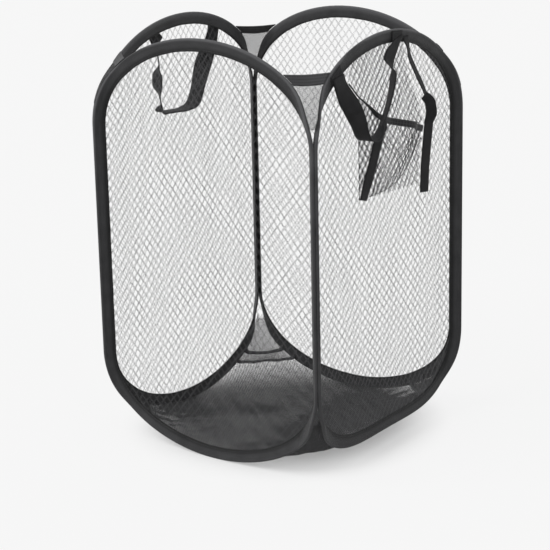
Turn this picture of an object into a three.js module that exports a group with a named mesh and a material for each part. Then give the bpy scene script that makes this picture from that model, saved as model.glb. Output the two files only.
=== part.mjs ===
import * as THREE from 'three';

// Pop-up laundry hamper: four sprung wire loops, each in a cloth casing round a net panel,
// joined at the corners into an open square basket with a net floor, two webbing handles
// and a net pocket.
// Millimetres, +Z up. The origin is on the floor at the middle of the footprint.
// A panel is drawn facing -Y: X runs along it, Z is up, and "out" is the distance outwards.

// Whole hamper
const panelSpacing = 340; // between the middle planes of two opposite panels
const hamperHeight = 570;
const topRise = 130; // height of the rounded top end of a panel
const bottomRise = 122; // height of the rounded bottom end of a panel
const seatGap = 0.3; // between pieces that touch
const rightLift = 24; // how much higher the lower end of the right panel settles at its middle

// Cloth casing round each loop
const casingWidth = 17; // from the stitched edge to the outer edge
const casingNose = 4.2; // thickness round the wire
const casingHem = 2.4; // thickness at the stitched edge
const casingSlot = 1; // mouth between the two cloth layers
const casingFlat = 2.4; // flat strip along the outer edge
const tapeThickness = 0.7;
const cornerFlare = Math.PI / 4; // two casings meet back to back on the diagonal
const flareStartShare = 0.6; // how far the edge has turned upright where the flare starts
const flareEndShare = 0.97; // and where it is complete
const endSteps = 21; // odd, so that each end has a flat step at its middle
const sideStepShare = 0.6; // steps are this much shorter beside the corners, where the casing twists

// Sprung wire
const wireDiameter = 2;
const wireSides = 6;

// Net of the panels, drawn with few and wide diamond gaps
const netThickness = 0.6;
const netPitchWidth = 50; // from gap to gap along the panel
const netPitchHeight = 66; // and up it
const netCordWidth = 5; // between neighbouring gaps
const netBorder = 5; // least width left along the stitched edge
const netDroopShare = 0.08; // how far below its middle, of half its height, a gap is widest

// Net gussets and bands that close the upper corners
const topGussetFoot = 12; // width where the gusset starts
const topBandSpan = 59; // length of the taut band along its top
const topBandHeight = 12;
const topBandThickness = 1.6;
const gussetRows = 7;
const gussetColumns = 4;

// Net floor and the gussets that close the lower corners
const floorLow = 3; // height of the flat middle
const floorTuck = 4; // how far above the outer edge of the casing it is stitched
const floorPower = 3; // how late the floor turns up towards a corner
const floorMiddleRows = 6;
const floorCornerRows = 4;
const floorColumns = 14;
const bottomGussetSide = 64; // along each panel, from the corner to the floor
const bottomGussetFoot = 6; // width left where the casings meet

// Webbing handles
const webbingWidth = 25;
const webbingThickness = 1.6;
const handleSpan = 136;
const leftHandleDrop = 120;
const rightHandleDrop = 100;
const leftHandleMiddle = -12; // along the panel, from its middle
const rightHandleMiddle = -46;
const tabTop = 15; // the sewn end lies between these widths across the casing
const tabBottom = 1;
const handlePivot = 6; // where the swinging end starts, across the casing
const handleStandOff = 14; // how far the loop stands out where it is turned edge on
const handleSteps = 26;
const handleSquareShare = 0.25; // of its drop, by which the webbing lies square to its own line
const handleTurnStartShare = 0.06; // the webbing turns between these shares of its drop
const handleTurnEndShare = 0.8;
const leftHandleShares = [ // of the span and of the drop
  [0, 0], [0.05, 0.3], [0.13, 0.66], [0.26, 0.95], [0.4, 1], [0.6, 1],
  [0.77, 0.98], [0.82, 0.84], [0.82, 0.5], [0.86, 0.22], [1, 0],
];
const rightHandleShares = [
  [0, 0], [0.07, 0.3], [0.16, 0.65], [0.27, 0.93], [0.4, 1], [0.52, 0.98],
  [0.64, 0.84], [0.75, 0.6], [0.8, 0.35], [0.86, 0.15], [1, 0],
];

// Net pocket on the outside of the right panel
const pocketWidth = 150;
const pocketHeight = 190;
const pocketFrontEdge = -68; // along the panel, its edge nearest to the front
const pocketDrop = 21; // from the top of the hamper down to the top of the pocket
const pocketBulge = 18; // how far the mouth stands out
const pocketRows = 7;
const pocketColumns = 12;
const hemHeight = 9;
const hemTip = 2; // height of the hem where it starts
const hemThickness = 1.2;
const pocketTapeWidth = 15;
const pocketTapeThickness = 1;
const tapeMargin = 20; // from the middle of a tape to where the net starts to bulge
const archSteps = 8;
const mouthShares = [[0, 0.71], [0.17, 0.62], [0.29, 0.55], [0.42, 0.5], [0.72, 0.43], [1.04, 0.35]];
const hemStartShares = [-0.15, 0.82];
const footShares = [[0, 0], [0.33, 0], [0.55, 0.02], [0.74, 0.09], [0.87, 0.18], [0.95, 0.26], [1.03, 0.28]];
const frontTapeShares = [[0.39, 0.51], [0.29, 0.4], [0.19, 0.24], [0.08, 0.07], [0.05, -0.01]];
const backTapeShares = [
  [0.74, 1.04], [0.77, 0.91], [0.88, 0.78], [1.03, 0.62],
  [1.11, 0.47], [1.09, 0.32], [1.05, 0.11], [1.03, -0.11],
];
const backNetFrontShares = [[-0.13, 0.85], [0, 0.71], [0, 0], [0.45, -0.02]];
const backNetBackShares = [
  [0.97, -0.04], [0.98, 0.11], [1.03, 0.3], [1.04, 0.43],
  [0.98, 0.54], [0.87, 0.69], [0.76, 0.85], [0.73, 0.97],
];

// Colours
const casingCloth = { color: 0x2c2c2e, roughness: 0.75, metalness: 0 };
const webbingCloth = { color: 0x161617, roughness: 0.85, metalness: 0 };
const netCloth = { color: 0x4a4a4d, roughness: 0.8, metalness: 0 };
const floorCloth = { color: 0x2f2f32, roughness: 0.8, metalness: 0 };
const springSteel = { color: 0x9a9da1, roughness: 0.35, metalness: 1 };

// Sizes that follow
const planeOffset = panelSpacing / 2;
const seamHalf = planeOffset - (casingNose + seatGap) / Math.SQRT2;
const topBase = topRise - casingWidth;
const bottomBase = bottomRise - casingWidth;
const noseHalf = casingNose / 2;
const wireSeat = casingWidth - noseHalf;
const topCentre = hamperHeight - endReach(topBase);
const bottomCentre = endReach(bottomBase);

function edgeNormal(angle, base) {
  // Outward direction, in the panel, of the stitched edge of an elliptic end.
  return new THREE.Vector3(Math.cos(angle) / seamHalf, 0, Math.sin(angle) / base).normalize();
}

function endAngle(step) {
  // Angle of a step round an end. The steps grow from the sides to the middle.
  const share = (2 * Math.min(step, endSteps - step)) / endSteps;
  const angle = (Math.PI / 2) * share * (sideStepShare + (1 - sideStepShare) * share);
  return 2 * step > endSteps ? Math.PI - angle : angle;
}

function endReach(base) {
  // Distance from the centre of a rounded end to the flat step at its middle.
  const angle = endAngle((endSteps - 1) / 2);
  return base * Math.sin(angle) + casingWidth * edgeNormal(angle, base).z;
}

function smooth(value) {
  const share = THREE.MathUtils.clamp(value, 0, 1);
  return share * share * (3 - 2 * share);
}

function station(angle, upper) {
  // A place on the stitched edge, with the directions along it, across the casing and through it.
  const base = upper ? topBase : bottomBase;
  const centre = upper ? topCentre : bottomCentre;
  const place = new THREE.Vector3(seamHalf * Math.cos(angle), 0, centre + base * Math.sin(angle));
  const across = edgeNormal(angle, base);
  const along = new THREE.Vector3(-across.z, 0, across.x);
  const turned = (Math.abs(across.x) - flareStartShare) / (flareEndShare - flareStartShare);
  const flare = cornerFlare * smooth(turned);
  across.multiplyScalar(Math.cos(flare)).setY(-Math.sin(flare));
  const through = new THREE.Vector3().crossVectors(across, along);
  return { place, along, across, through };
}

function loopStations() {
  const stations = [];
  for (const upper of [true, false]) {
    for (let step = 0; step <= endSteps; step += 1) {
      stations.push(station(endAngle(step) + (upper ? 0 : Math.PI), upper));
    }
  }
  return stations;
}

function onCasing({ place, across, through }, width, height) {
  return place.clone().addScaledVector(across, width).addScaledVector(through, height);
}

function panelPoint(x, out, z) {
  return new THREE.Vector3(x, -out, z);
}

function topStation(x) {
  // Station on the top end whose stitched edge is at x.
  return station(Math.acos(x / seamHalf), true);
}

// Solids

function solid(points, index) {
  // Triangles as one geometry with its faces pointing out.
  let volume = 0;
  for (let k = 0; k < index.length; k += 3) {
    const [a, b, c] = index.slice(k, k + 3).map((corner) => points[corner]);
    volume += a.dot(new THREE.Vector3().crossVectors(b, c));
  }
  const geometry = new THREE.BufferGeometry();
  const places = points.flatMap((point) => point.toArray());
  geometry.setAttribute('position', new THREE.Float32BufferAttribute(places, 3));
  geometry.setIndex(volume > 0 ? index : index.slice().reverse());
  geometry.computeVertexNormals();
  return geometry;
}

function wall(rows, count, closed, crossed = []) {
  // Triangles between neighbouring outlines of a loft. Crossed edges are split the other way.
  const index = [];
  const spans = closed ? rows : rows - 1;
  for (let row = 0; row < spans; row += 1) {
    const here = row * count;
    const next = ((row + 1) % rows) * count;
    for (let k = 0; k < count; k += 1) {
      const after = (k + 1) % count;
      const [a, b, c, d] = [here + k, here + after, next + after, next + k];
      index.push(...(crossed.includes(k) ? [a, b, d, b, c, d] : [a, b, c, a, c, d]));
    }
  }
  return index;
}

function ring(outlines, crossed) {
  // A bar through a closed row of outlines.
  return solid(outlines.flat(), wall(outlines.length, outlines[0].length, true, crossed));
}

function bar(outlines, crossed) {
  // A bar through a row of convex outlines, with flat ends.
  const count = outlines[0].length;
  const index = wall(outlines.length, count, false, crossed);
  const last = (outlines.length - 1) * count;
  for (let k = 1; k < count - 1; k += 1) {
    index.push(0, k + 1, k, last, last + k, last + k + 1);
  }
  return solid(outlines.flat(), index);
}

function sheet(grid, thickness) {
  // A thin solid whose middle surface is a grid of points.
  const rows = grid.length;
  const columns = grid[0].length;
  const shifts = grid.map((line, row) => line.map((point, column) => {
    const across = line[Math.min(column + 1, columns - 1)].clone()
      .sub(line[Math.max(column - 1, 0)]);
    const up = grid[Math.min(row + 1, rows - 1)][column].clone()
      .sub(grid[Math.max(row - 1, 0)][column]);
    return across.cross(up).setLength(thickness / 2);
  }));
  const outlines = grid.map((line, row) => {
    const upper = line.map((point, column) => point.clone().add(shifts[row][column]));
    const lower = line.map((point, column) => point.clone().sub(shifts[row][column]));
    return [...upper, ...lower.reverse()];
  });
  const count = 2 * columns;
  const lowerEdges = grid[0].map((_, column) => columns + column);
  const index = wall(rows, count, false, lowerEdges);
  const last = (rows - 1) * count;
  for (let k = 0; k < columns - 1; k += 1) {
    const [a, b, c, d] = [k, k + 1, count - 2 - k, count - 1 - k];
    index.push(a, c, b, a, d, c);
    index.push(last + a, last + b, last + c, last + a, last + c, last + d);
  }
  return solid(outlines.flat(), index);
}

function strip(path, thickness) {
  // Flat tape along places that each have a width, a direction along it and one through it.
  const backEdge = 2;
  return bar(path.map(({ place, width, side, face }) => (
    [[-width, -thickness], [width, -thickness], [width, thickness], [-width, thickness]].map(
      ([a, b]) => place.clone().addScaledVector(side, a / 2).addScaledVector(face, b / 2))
  )), [backEdge]);
}

function named(name, geometry, finish) {
  const mesh = new THREE.Mesh(geometry, new THREE.MeshStandardMaterial(finish));
  mesh.name = name;
  return mesh;
}

// Panels

function casing() {
  // Two layers of cloth folded round the wire, open along the stitched edge.
  const shoulder = wireSeat - noseHalf;
  const foldEnd = casingWidth - tapeThickness;
  const foldHalf = noseHalf - tapeThickness;
  const section = [
    [0, -casingHem / 2], [shoulder, -noseHalf], [wireSeat, -noseHalf], [casingWidth, -casingFlat / 2],
    [casingWidth, casingFlat / 2], [wireSeat, noseHalf], [shoulder, noseHalf], [0, casingHem / 2],
    [0, casingSlot / 2], [foldEnd, foldHalf], [foldEnd, -foldHalf], [0, -casingSlot / 2],
  ];
  const insideEdges = [section.length - 4, section.length - 2];
  return ring(loopStations().map((at) => section.map(([w, h]) => onCasing(at, w, h))), insideEdges);
}

function wire() {
  const radius = wireDiameter / 2;
  const seat = casingWidth - tapeThickness - seatGap - radius;
  const section = [];
  for (let side = 0; side < wireSides; side += 1) {
    const angle = (2 * Math.PI * side) / wireSides;
    section.push([seat + radius * Math.cos(angle), radius * Math.sin(angle)]);
  }
  return ring(loopStations().map((at) => section.map(([w, h]) => onCasing(at, w, h))));
}

function flatNet(outline, gaps = []) {
  const shape = new THREE.Shape(outline);
  shape.holes.push(...gaps);
  const geometry = new THREE.ExtrudeGeometry(shape, { depth: netThickness, bevelEnabled: false });
  return geometry.rotateX(Math.PI / 2).translate(0, netThickness / 2, 0);
}

function insideEdge({ x, y: z }, margin) {
  // Whether a place in the panel lies within the stitched edge by a margin.
  const width = x / (seamHalf - margin);
  const above = Math.max(z - topCentre, 0) / (topBase - margin);
  const below = Math.max(bottomCentre - z, 0) / (bottomBase - margin);
  return width ** 2 + (above + below) ** 2 < 1;
}

function panelGaps() {
  // Staggered rows of diamonds, as far as they fit inside the stitched edge.
  const half = new THREE.Vector2(netPitchWidth / 2, netPitchHeight / 2);
  const toSide = (half.x * half.y) / half.length();
  const reach = half.clone().multiplyScalar(1 - netCordWidth / (2 * toSide));
  const rows = Math.ceil(hamperHeight / netPitchHeight);
  const columns = Math.ceil(panelSpacing / netPitchWidth);
  const gaps = [];
  for (let row = -rows; row <= rows; row += 1) {
    for (let column = -columns; column <= columns; column += 1) {
      const stagger = row % 2 === 0 ? 0 : half.x;
      const middle = new THREE.Vector2(column * netPitchWidth + stagger, row * half.y + hamperHeight / 2);
      const corners = [[-1, -netDroopShare], [0, -1], [1, -netDroopShare], [0, 1]].map(([a, b]) => (
        middle.clone().add(new THREE.Vector2(a * reach.x, b * reach.y))));
      if (corners.every((corner) => insideEdge(corner, netBorder))) gaps.push(new THREE.Path(corners));
    }
  }
  return gaps;
}

function panelNet() {
  // Fills the panel up to the stitched edge.
  return flatNet(loopStations().map(({ place, along }) => (
    new THREE.Vector2(place.x - seatGap * along.z, place.z + seatGap * along.x))), panelGaps());
}

// Corner pieces, drawn at the corner between the front and right panels

function acrossCorner(place) {
  // The matching place on the right panel of a place on the front panel.
  return new THREE.Vector3(-place.y, -place.x, place.z);
}

function besideNose(angle, thickness) {
  // Where a sheet of that thickness lies on the outer edge of the front casing.
  const place = onCasing(station(angle, true), casingWidth + seatGap + thickness / 2, 0);
  return place.setY(place.y - planeOffset);
}

function noseSpan(angle, thickness) {
  const place = besideNose(angle, thickness);
  return place.distanceTo(acrossCorner(place));
}

function angleWhere(test) {
  // First angle up the rounded end, from the side of the panel, that passes a test.
  let [low, high] = [0, Math.PI / 2];
  const halvings = 30;
  for (let pass = 0; pass < halvings; pass += 1) {
    const middle = (low + high) / 2;
    if (test(middle)) high = middle;
    else low = middle;
  }
  return high;
}

function ruledCorner(from, to, rows, thickness) {
  // A taut sheet between the outer edges of two neighbouring casings.
  const grid = [];
  for (let row = 0; row <= rows; row += 1) {
    const place = besideNose(THREE.MathUtils.lerp(from, to, row / rows), thickness);
    grid.push([place, acrossCorner(place)]);
  }
  return sheet(grid, thickness);
}

const bandTopAngle = angleWhere((angle) => noseSpan(angle, topBandThickness) > topBandSpan);
const bandFoot = besideNose(bandTopAngle, topBandThickness).z - topBandHeight;

function topBand() {
  const footAngle = angleWhere((angle) => besideNose(angle, topBandThickness).z > bandFoot);
  return ruledCorner(footAngle, bandTopAngle, 2, topBandThickness);
}

function topGusset() {
  const footAngle = angleWhere((angle) => noseSpan(angle, netThickness) > topGussetFoot);
  const topAngle = angleWhere((angle) => besideNose(angle, netThickness).z > bandFoot - 2 * seatGap);
  return ruledCorner(footAngle, topAngle, gussetRows, netThickness);
}

// Floor and lower gussets

const floorHalf = planeOffset - noseHalf - seatGap - netThickness;
const floorRise = bottomCentre - floorTuck;

function floorShare(x) {
  return Math.min(Math.abs(x) / floorHalf, 1);
}

function floorEdge(x) {
  // Height of the floor along the casing, above its middle.
  return floorRise * (1 - Math.sqrt(1 - floorShare(x) ** 2));
}

function floorPoint(x, y) {
  // The net is nearly flat in the middle and turns up along the casings towards the corners.
  const acrossX = floorShare(x) ** floorPower;
  const acrossY = floorShare(y) ** floorPower;
  const lift = floorEdge(x) * acrossY + floorEdge(y) * acrossX - floorRise * acrossX * acrossY;
  return new THREE.Vector3(x, y, floorLow + lift);
}

function floorNet() {
  // Rows from front to back, shorter where the corners are cut off.
  const cut = floorHalf - bottomGussetSide - seatGap;
  const places = [];
  for (let row = 0; row < floorCornerRows; row += 1) {
    places.push(THREE.MathUtils.lerp(-floorHalf, -cut, row / floorCornerRows));
  }
  for (let row = 0; row <= floorMiddleRows; row += 1) {
    places.push(THREE.MathUtils.lerp(-cut, cut, row / floorMiddleRows));
  }
  for (let row = 1; row <= floorCornerRows; row += 1) {
    places.push(THREE.MathUtils.lerp(cut, floorHalf, row / floorCornerRows));
  }
  return sheet(places.map((y) => {
    const reach = Math.min(floorHalf, floorHalf + cut - Math.abs(y));
    const line = [];
    for (let column = 0; column <= floorColumns; column += 1) {
      line.push(floorPoint(THREE.MathUtils.lerp(-reach, reach, column / floorColumns), y));
    }
    return line;
  }), netThickness);
}

function bottomGusset() {
  // Lines across the corner, from the floor up to where the casings meet.
  const grid = [];
  for (let row = 0; row <= gussetRows; row += 1) {
    const side = THREE.MathUtils.lerp(bottomGussetSide, bottomGussetFoot, row / gussetRows);
    const line = [];
    for (let column = 0; column <= gussetColumns; column += 1) {
      const step = (side * column) / gussetColumns;
      line.push(floorPoint(floorHalf - side + step, -floorHalf + step));
    }
    grid.push(line);
  }
  return sheet(grid, netThickness);
}

// Handles

const outwards = panelPoint(0, 1, 0);
const tabOut = noseHalf + seatGap + webbingThickness / 2;
const loopOut = tabOut + webbingThickness + seatGap;

function handleTab(x) {
  // Sewn end of the webbing, flat on the casing.
  const at = topStation(x);
  const path = [tabBottom, tabTop].map((across) => ({
    place: onCasing(at, across, 0).setY(-tabOut), width: webbingWidth, side: at.along, face: outwards,
  }));
  return strip(path, webbingThickness);
}

function handleLoop(middle, drop, shares) {
  // Folds along the line between two places on the casing, and turns from flat to edge on below it.
  const [start, end] = [-handleSpan / 2, handleSpan / 2].map((x) => (
    onCasing(topStation(middle + x), handlePivot, 0)));
  const fold = end.clone().sub(start).normalize();
  const route = new THREE.CatmullRomCurve3(shares.map(([along, down]) => (
    start.clone().lerp(end, along).add(new THREE.Vector3(0, 0, -drop * down)))));
  const path = [];
  for (let step = 0; step <= handleSteps; step += 1) {
    const share = step / handleSteps;
    const place = route.getPointAt(share);
    const level = THREE.MathUtils.lerp(start.z, end.z, (place.x - start.x) / (end.x - start.x));
    const sunk = (level - place.z) / drop;
    const turned = (sunk - handleTurnStartShare) / (handleTurnEndShare - handleTurnStartShare);
    const turn = (Math.PI / 2) * smooth(turned);
    const tangent = route.getTangentAt(share);
    const square = new THREE.Vector3().crossVectors(outwards, tangent).normalize();
    const flat = fold.clone().multiplyScalar(Math.sign(square.dot(fold)));
    flat.lerp(square, smooth(sunk / handleSquareShare)).normalize();
    const side = flat.multiplyScalar(Math.cos(turn)).addScaledVector(outwards, Math.sin(turn));
    const face = new THREE.Vector3().crossVectors(tangent, side).normalize();
    place.addScaledVector(outwards, loopOut + handleStandOff * Math.sin(turn));
    path.push({ place, width: webbingWidth, side, face });
  }
  return strip(path, webbingThickness);
}

function handlePieces(name, middle, drop, shares) {
  return [
    named(`${name}_handle`, handleLoop(middle, drop, shares), webbingCloth),
    named(`${name}_handle_tab_a`, handleTab(middle - handleSpan / 2), webbingCloth),
    named(`${name}_handle_tab_b`, handleTab(middle + handleSpan / 2), webbingCloth),
  ];
}

// Pocket

const backNetOut = netThickness + seatGap;
const frontNetOut = backNetOut + netThickness + seatGap;
const hemOut = (hemThickness - netThickness) / 2; // beyond the front net
const pocketTapeOut = frontNetOut + hemOut + hemThickness / 2 + seatGap + pocketTapeThickness / 2;

const pocketBottom = hamperHeight - pocketDrop - pocketHeight;

function pocketPlace([across, up]) {
  return panelPoint(pocketFrontEdge + across * pocketWidth, 0, pocketBottom + up * pocketHeight);
}

function pocketCurve(shares) {
  return new THREE.CatmullRomCurve3(shares.map(pocketPlace));
}

function crossingAt(shares, z) {
  // Where a tape that runs down passes a height.
  const places = shares.map(pocketPlace);
  const below = places.findIndex((place) => place.z < z);
  if (below === 0) return places[0].x;
  if (below < 0) return places[places.length - 1].x;
  const [above, under] = [places[below - 1], places[below]];
  return THREE.MathUtils.lerp(above.x, under.x, (above.z - z) / (above.z - under.z));
}

function frontNetAt(x, z, rise) {
  // How far out the front net is: flat beside the tapes, and bulging between them.
  const from = crossingAt(frontTapeShares, z) + tapeMargin;
  const to = crossingAt(backTapeShares, z) - tapeMargin;
  const across = THREE.MathUtils.clamp((x - from) / (to - from), 0, 1);
  return frontNetOut + pocketBulge * Math.sin(Math.PI * across) ** 2 * rise;
}

function hemHeightAt(share) {
  return THREE.MathUtils.lerp(hemTip, hemHeight, smooth(2 * share));
}

function downFrom(curve, share) {
  // Direction square to a curve in the panel, towards the foot of the pocket.
  const tangent = curve.getTangentAt(share);
  return new THREE.Vector3(tangent.z, 0, -tangent.x);
}

function pocketFront() {
  const mouth = pocketCurve(mouthShares);
  const foot = pocketCurve(footShares);
  const grid = [];
  for (let row = 0; row <= pocketRows; row += 1) {
    const rise = row / pocketRows;
    const line = [];
    for (let column = 0; column <= pocketColumns; column += 1) {
      const share = column / pocketColumns;
      const hem = downFrom(mouth, share).multiplyScalar(hemHeightAt(share) / 2 + seatGap);
      const place = foot.getPointAt(share).lerp(mouth.getPointAt(share).add(hem), rise);
      line.push(place.setY(-frontNetAt(place.x, place.z, rise)));
    }
    grid.push(line);
  }
  return sheet(grid, netThickness);
}

function pocketHem() {
  // Folded edge of the mouth, which starts thin beyond the net.
  const mouth = pocketCurve(mouthShares);
  const start = pocketPlace(hemStartShares);
  const first = mouth.getPointAt(0);
  const lead = new THREE.Vector3().subVectors(first, start).normalize();
  const path = [{ place: start, side: new THREE.Vector3(lead.z, 0, -lead.x), width: hemTip }];
  for (let column = 0; column <= pocketColumns; column += 1) {
    const share = column / pocketColumns;
    const place = mouth.getPointAt(share);
    path.push({ place, side: downFrom(mouth, share), width: hemHeightAt(share) });
  }
  path.forEach((step) => {
    step.place.setY(-frontNetAt(step.place.x, step.place.z, 1) - hemOut);
    step.face = outwards;
  });
  return strip(path, hemThickness);
}

function pocketBack() {
  // Lies on the panel and reaches up to the casing.
  const from = pocketPlace(backNetBackShares[backNetBackShares.length - 1]).x;
  const to = pocketPlace(backNetFrontShares[0]).x;
  const arch = [];
  for (let step = 0; step <= archSteps; step += 1) {
    const at = topStation(THREE.MathUtils.lerp(from, to, step / archSteps));
    arch.push(onCasing(at, -2 * seatGap, 0));
  }
  const sides = [backNetBackShares, backNetFrontShares].map((shares) => shares.map(pocketPlace));
  const outline = [...sides[0], ...arch, ...sides[1]];
  return flatNet(outline.map(({ x, z }) => new THREE.Vector2(x, z))).translate(0, -backNetOut, 0);
}

function pocketTape(shares) {
  const curve = pocketCurve(shares);
  const steps = 3 * (shares.length - 1);
  const path = [];
  for (let step = 0; step <= steps; step += 1) {
    const place = curve.getPointAt(step / steps).setY(-pocketTapeOut);
    path.push({ place, side: downFrom(curve, step / steps), face: outwards, width: pocketTapeWidth });
  }
  return strip(path, pocketTapeThickness);
}

// Settling

function liftAt({ x, y, z }) {
  // How far a place rises: most at the middle of the right panel's lower end, and none at its corners.
  const half = hamperHeight / 2;
  const along = Math.cos(Math.PI * THREE.MathUtils.clamp(y / panelSpacing, -1 / 2, 1 / 2)) ** 2;
  return rightLift * smooth((half - z) / half) * along * smooth(x / planeOffset);
}

function settle(mesh) {
  const places = mesh.geometry.getAttribute('position');
  const place = new THREE.Vector3();
  for (let corner = 0; corner < places.count; corner += 1) {
    place.fromBufferAttribute(places, corner);
    const lift = liftAt(mesh.localToWorld(place));
    places.setZ(corner, places.getZ(corner) + lift);
  }
  mesh.geometry.computeVertexNormals();
}

// Assembly

function panelGroup(turns) {
  // A group in which a piece is drawn as on the front panel, turned round to its own side.
  const side = new THREE.Group();
  side.rotation.z = (Math.PI / 2) * turns;
  const plane = new THREE.Group();
  plane.position.y = -planeOffset;
  side.add(plane);
  return { side, plane };
}

const hamper = new THREE.Group();

['front', 'right', 'back', 'left'].forEach((name, turns) => {
  const { side, plane } = panelGroup(turns);
  plane.add(named(`${name}_wire`, wire(), springSteel));
  plane.add(named(`${name}_casing`, casing(), casingCloth));
  plane.add(named(`${name}_net`, panelNet(), netCloth));
  if (name === 'left') plane.add(...handlePieces(name, leftHandleMiddle, leftHandleDrop, leftHandleShares));
  if (name === 'right') {
    plane.add(...handlePieces(name, rightHandleMiddle, rightHandleDrop, rightHandleShares));
    plane.add(named('pocket_back_net', pocketBack(), netCloth));
    plane.add(named('pocket_front_net', pocketFront(), netCloth));
    plane.add(named('pocket_hem', pocketHem(), casingCloth));
    plane.add(named('pocket_front_tape', pocketTape(frontTapeShares), webbingCloth));
    plane.add(named('pocket_back_tape', pocketTape(backTapeShares), webbingCloth));
  }
  hamper.add(side);
});

['front_right', 'back_right', 'back_left', 'front_left'].forEach((name, turns) => {
  const corner = new THREE.Group();
  corner.rotation.z = (Math.PI / 2) * turns;
  corner.add(named(`${name}_top_gusset`, topGusset(), netCloth));
  corner.add(named(`${name}_top_band`, topBand(), casingCloth));
  corner.add(named(`${name}_bottom_gusset`, bottomGusset(), floorCloth));
  hamper.add(corner);
});

hamper.add(named('floor_net', floorNet(), floorCloth));

hamper.updateMatrixWorld(true);
hamper.traverse((piece) => {
  if (piece.isMesh) settle(piece);
});

export default hamper;
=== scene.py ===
"""Pop-up laundry hamper: sprung net panels in cloth casings, with a net floor, handles and a pocket.

Sizes are in metres. The origin is on the floor at the middle of the footprint, with +Z up and the
front panel facing -Y. A panel is worked out in its own frame: x along it, z up, out away from it.
"""

import logging
import math
from bisect import bisect_left, bisect_right
from dataclasses import dataclass, replace
from enum import Enum
from functools import cached_property
from typing import Callable, Iterable, Sequence

import bmesh
import bpy
from mathutils import Matrix, Vector, noise


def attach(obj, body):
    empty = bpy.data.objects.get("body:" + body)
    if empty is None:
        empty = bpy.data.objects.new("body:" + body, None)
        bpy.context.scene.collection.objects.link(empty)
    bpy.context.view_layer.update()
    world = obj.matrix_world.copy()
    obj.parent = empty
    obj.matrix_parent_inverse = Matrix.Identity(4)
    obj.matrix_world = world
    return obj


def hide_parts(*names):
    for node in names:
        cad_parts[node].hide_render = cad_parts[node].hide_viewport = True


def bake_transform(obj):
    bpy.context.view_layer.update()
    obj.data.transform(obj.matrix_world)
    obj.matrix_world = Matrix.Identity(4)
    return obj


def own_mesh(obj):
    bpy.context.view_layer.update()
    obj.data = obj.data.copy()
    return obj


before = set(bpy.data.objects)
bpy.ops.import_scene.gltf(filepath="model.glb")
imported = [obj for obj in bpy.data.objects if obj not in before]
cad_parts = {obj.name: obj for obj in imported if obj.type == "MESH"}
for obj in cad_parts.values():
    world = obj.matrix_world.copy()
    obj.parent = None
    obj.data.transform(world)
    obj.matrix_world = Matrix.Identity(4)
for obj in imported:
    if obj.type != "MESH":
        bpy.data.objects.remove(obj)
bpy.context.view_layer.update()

log = logging.getLogger("hamper")

Line = list[Vector]
Place = Callable[[int, int], Vector]
Table = Sequence[tuple[float, float]]
Colour = tuple[float, float, float]
Socket = bpy.types.NodeSocket

LEAST = 1e-9  # keeps a division clear of nought
WELD_SHARE = 0.02  # of a cloth's thickness or a yarn's radius, within which two points are one
EDGE_HALVINGS = 12  # steps that narrow down where a yarn crosses an outline
ANGLE_HALVINGS = 30  # steps that narrow down an angle on an arch
CLOTH_MAP = "Cloth"  # name of the coordinates that follow a cloth
RIB_SCALE = math.pi / 10  # scale of a wave texture with one rib to a unit
MIX_COLOURS = slice(6, 8)  # the inputs of a Mix node that take its colours
MIX_RESULT = 2  # and the output that gives their mix
SKIN_SIDES = 4  # sides of a yarn's section


# Sides and corners


class Side(Enum):
    """A panel of the hamper, by its quarter turns from the front."""

    FRONT = 0
    RIGHT = 1
    BACK = 2
    LEFT = 3

    @property
    def body(self) -> str:
        """Name of the rigid body that this panel is."""
        return self.name.lower()

    @property
    def casing(self) -> str:
        """Name of the cloth round its wire."""
        return f"{self.body}_casing_cloth"

    @property
    def turn(self) -> Matrix:
        """Turn that brings a piece drawn for the front to this side."""
        return Matrix.Rotation(math.pi / 2 * self.value, 4, "Z")


class Corner(Enum):
    """A corner of the hamper, by the two panels that meet there."""

    FRONT_RIGHT = (Side.FRONT, Side.RIGHT)
    BACK_RIGHT = (Side.RIGHT, Side.BACK)
    BACK_LEFT = (Side.BACK, Side.LEFT)
    FRONT_LEFT = (Side.LEFT, Side.FRONT)

    @property
    def label(self) -> str:
        """Name used for the corner's pieces."""
        return self.name.lower()

    @property
    def casings(self) -> list[str]:
        """Names of the two casings' cloths."""
        return [side.casing for side in self.value]

    @property
    def turn(self) -> Matrix:
        """Turn that brings a piece drawn at the front right corner here."""
        return self.value[0].turn


class Slot(Enum):
    """Material slots of the record."""

    CASING = "casing"
    WEBBING = "webbing"
    NET = "net"
    FLOOR = "floor_net"


# Curves and unevenness


def clamp(value: float) -> float:
    """Value held between 0 and 1."""
    return min(max(value, 0.0), 1.0)


def smooth(value: float) -> float:
    """Eased step from 0 to 1."""
    return clamp(value) ** 2 * (3 - 2 * clamp(value))


def mix(low: float, high: float, share: float) -> float:
    """Value between two values."""
    return low + (high - low) * share


def eased(table: Table, share: float) -> float:
    """Value at a share, eased between the values of a table.

    Args:
        table: rising shares, each with its value.
        share: the share that it is read at.

    Returns:
        The value.
    """
    for (low, start), (high, end) in zip(table, table[1:]):
        if share <= high:
            return mix(start, end, smooth((share - low) / (high - low)))
    return table[-1][1]


def length_of(line: Sequence[Vector]) -> float:
    """Length of a line through its places."""
    return sum((b - a).length for a, b in zip(line, line[1:]))


@dataclass(frozen=True)
class Ripple:
    """Steady unevenness: its waves to a unit both ways, its depth and the number of its pattern."""

    waves: tuple[float, float]
    depth: float
    pattern: float

    def at(self, x: float, y: float, shift: float = 0.0) -> float:
        """Unevenness at a place, in its pattern or in one that is shifted from it."""
        return self.depth * noise.noise(Vector((x * self.waves[0], y * self.waves[1], self.pattern + shift)))


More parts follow.
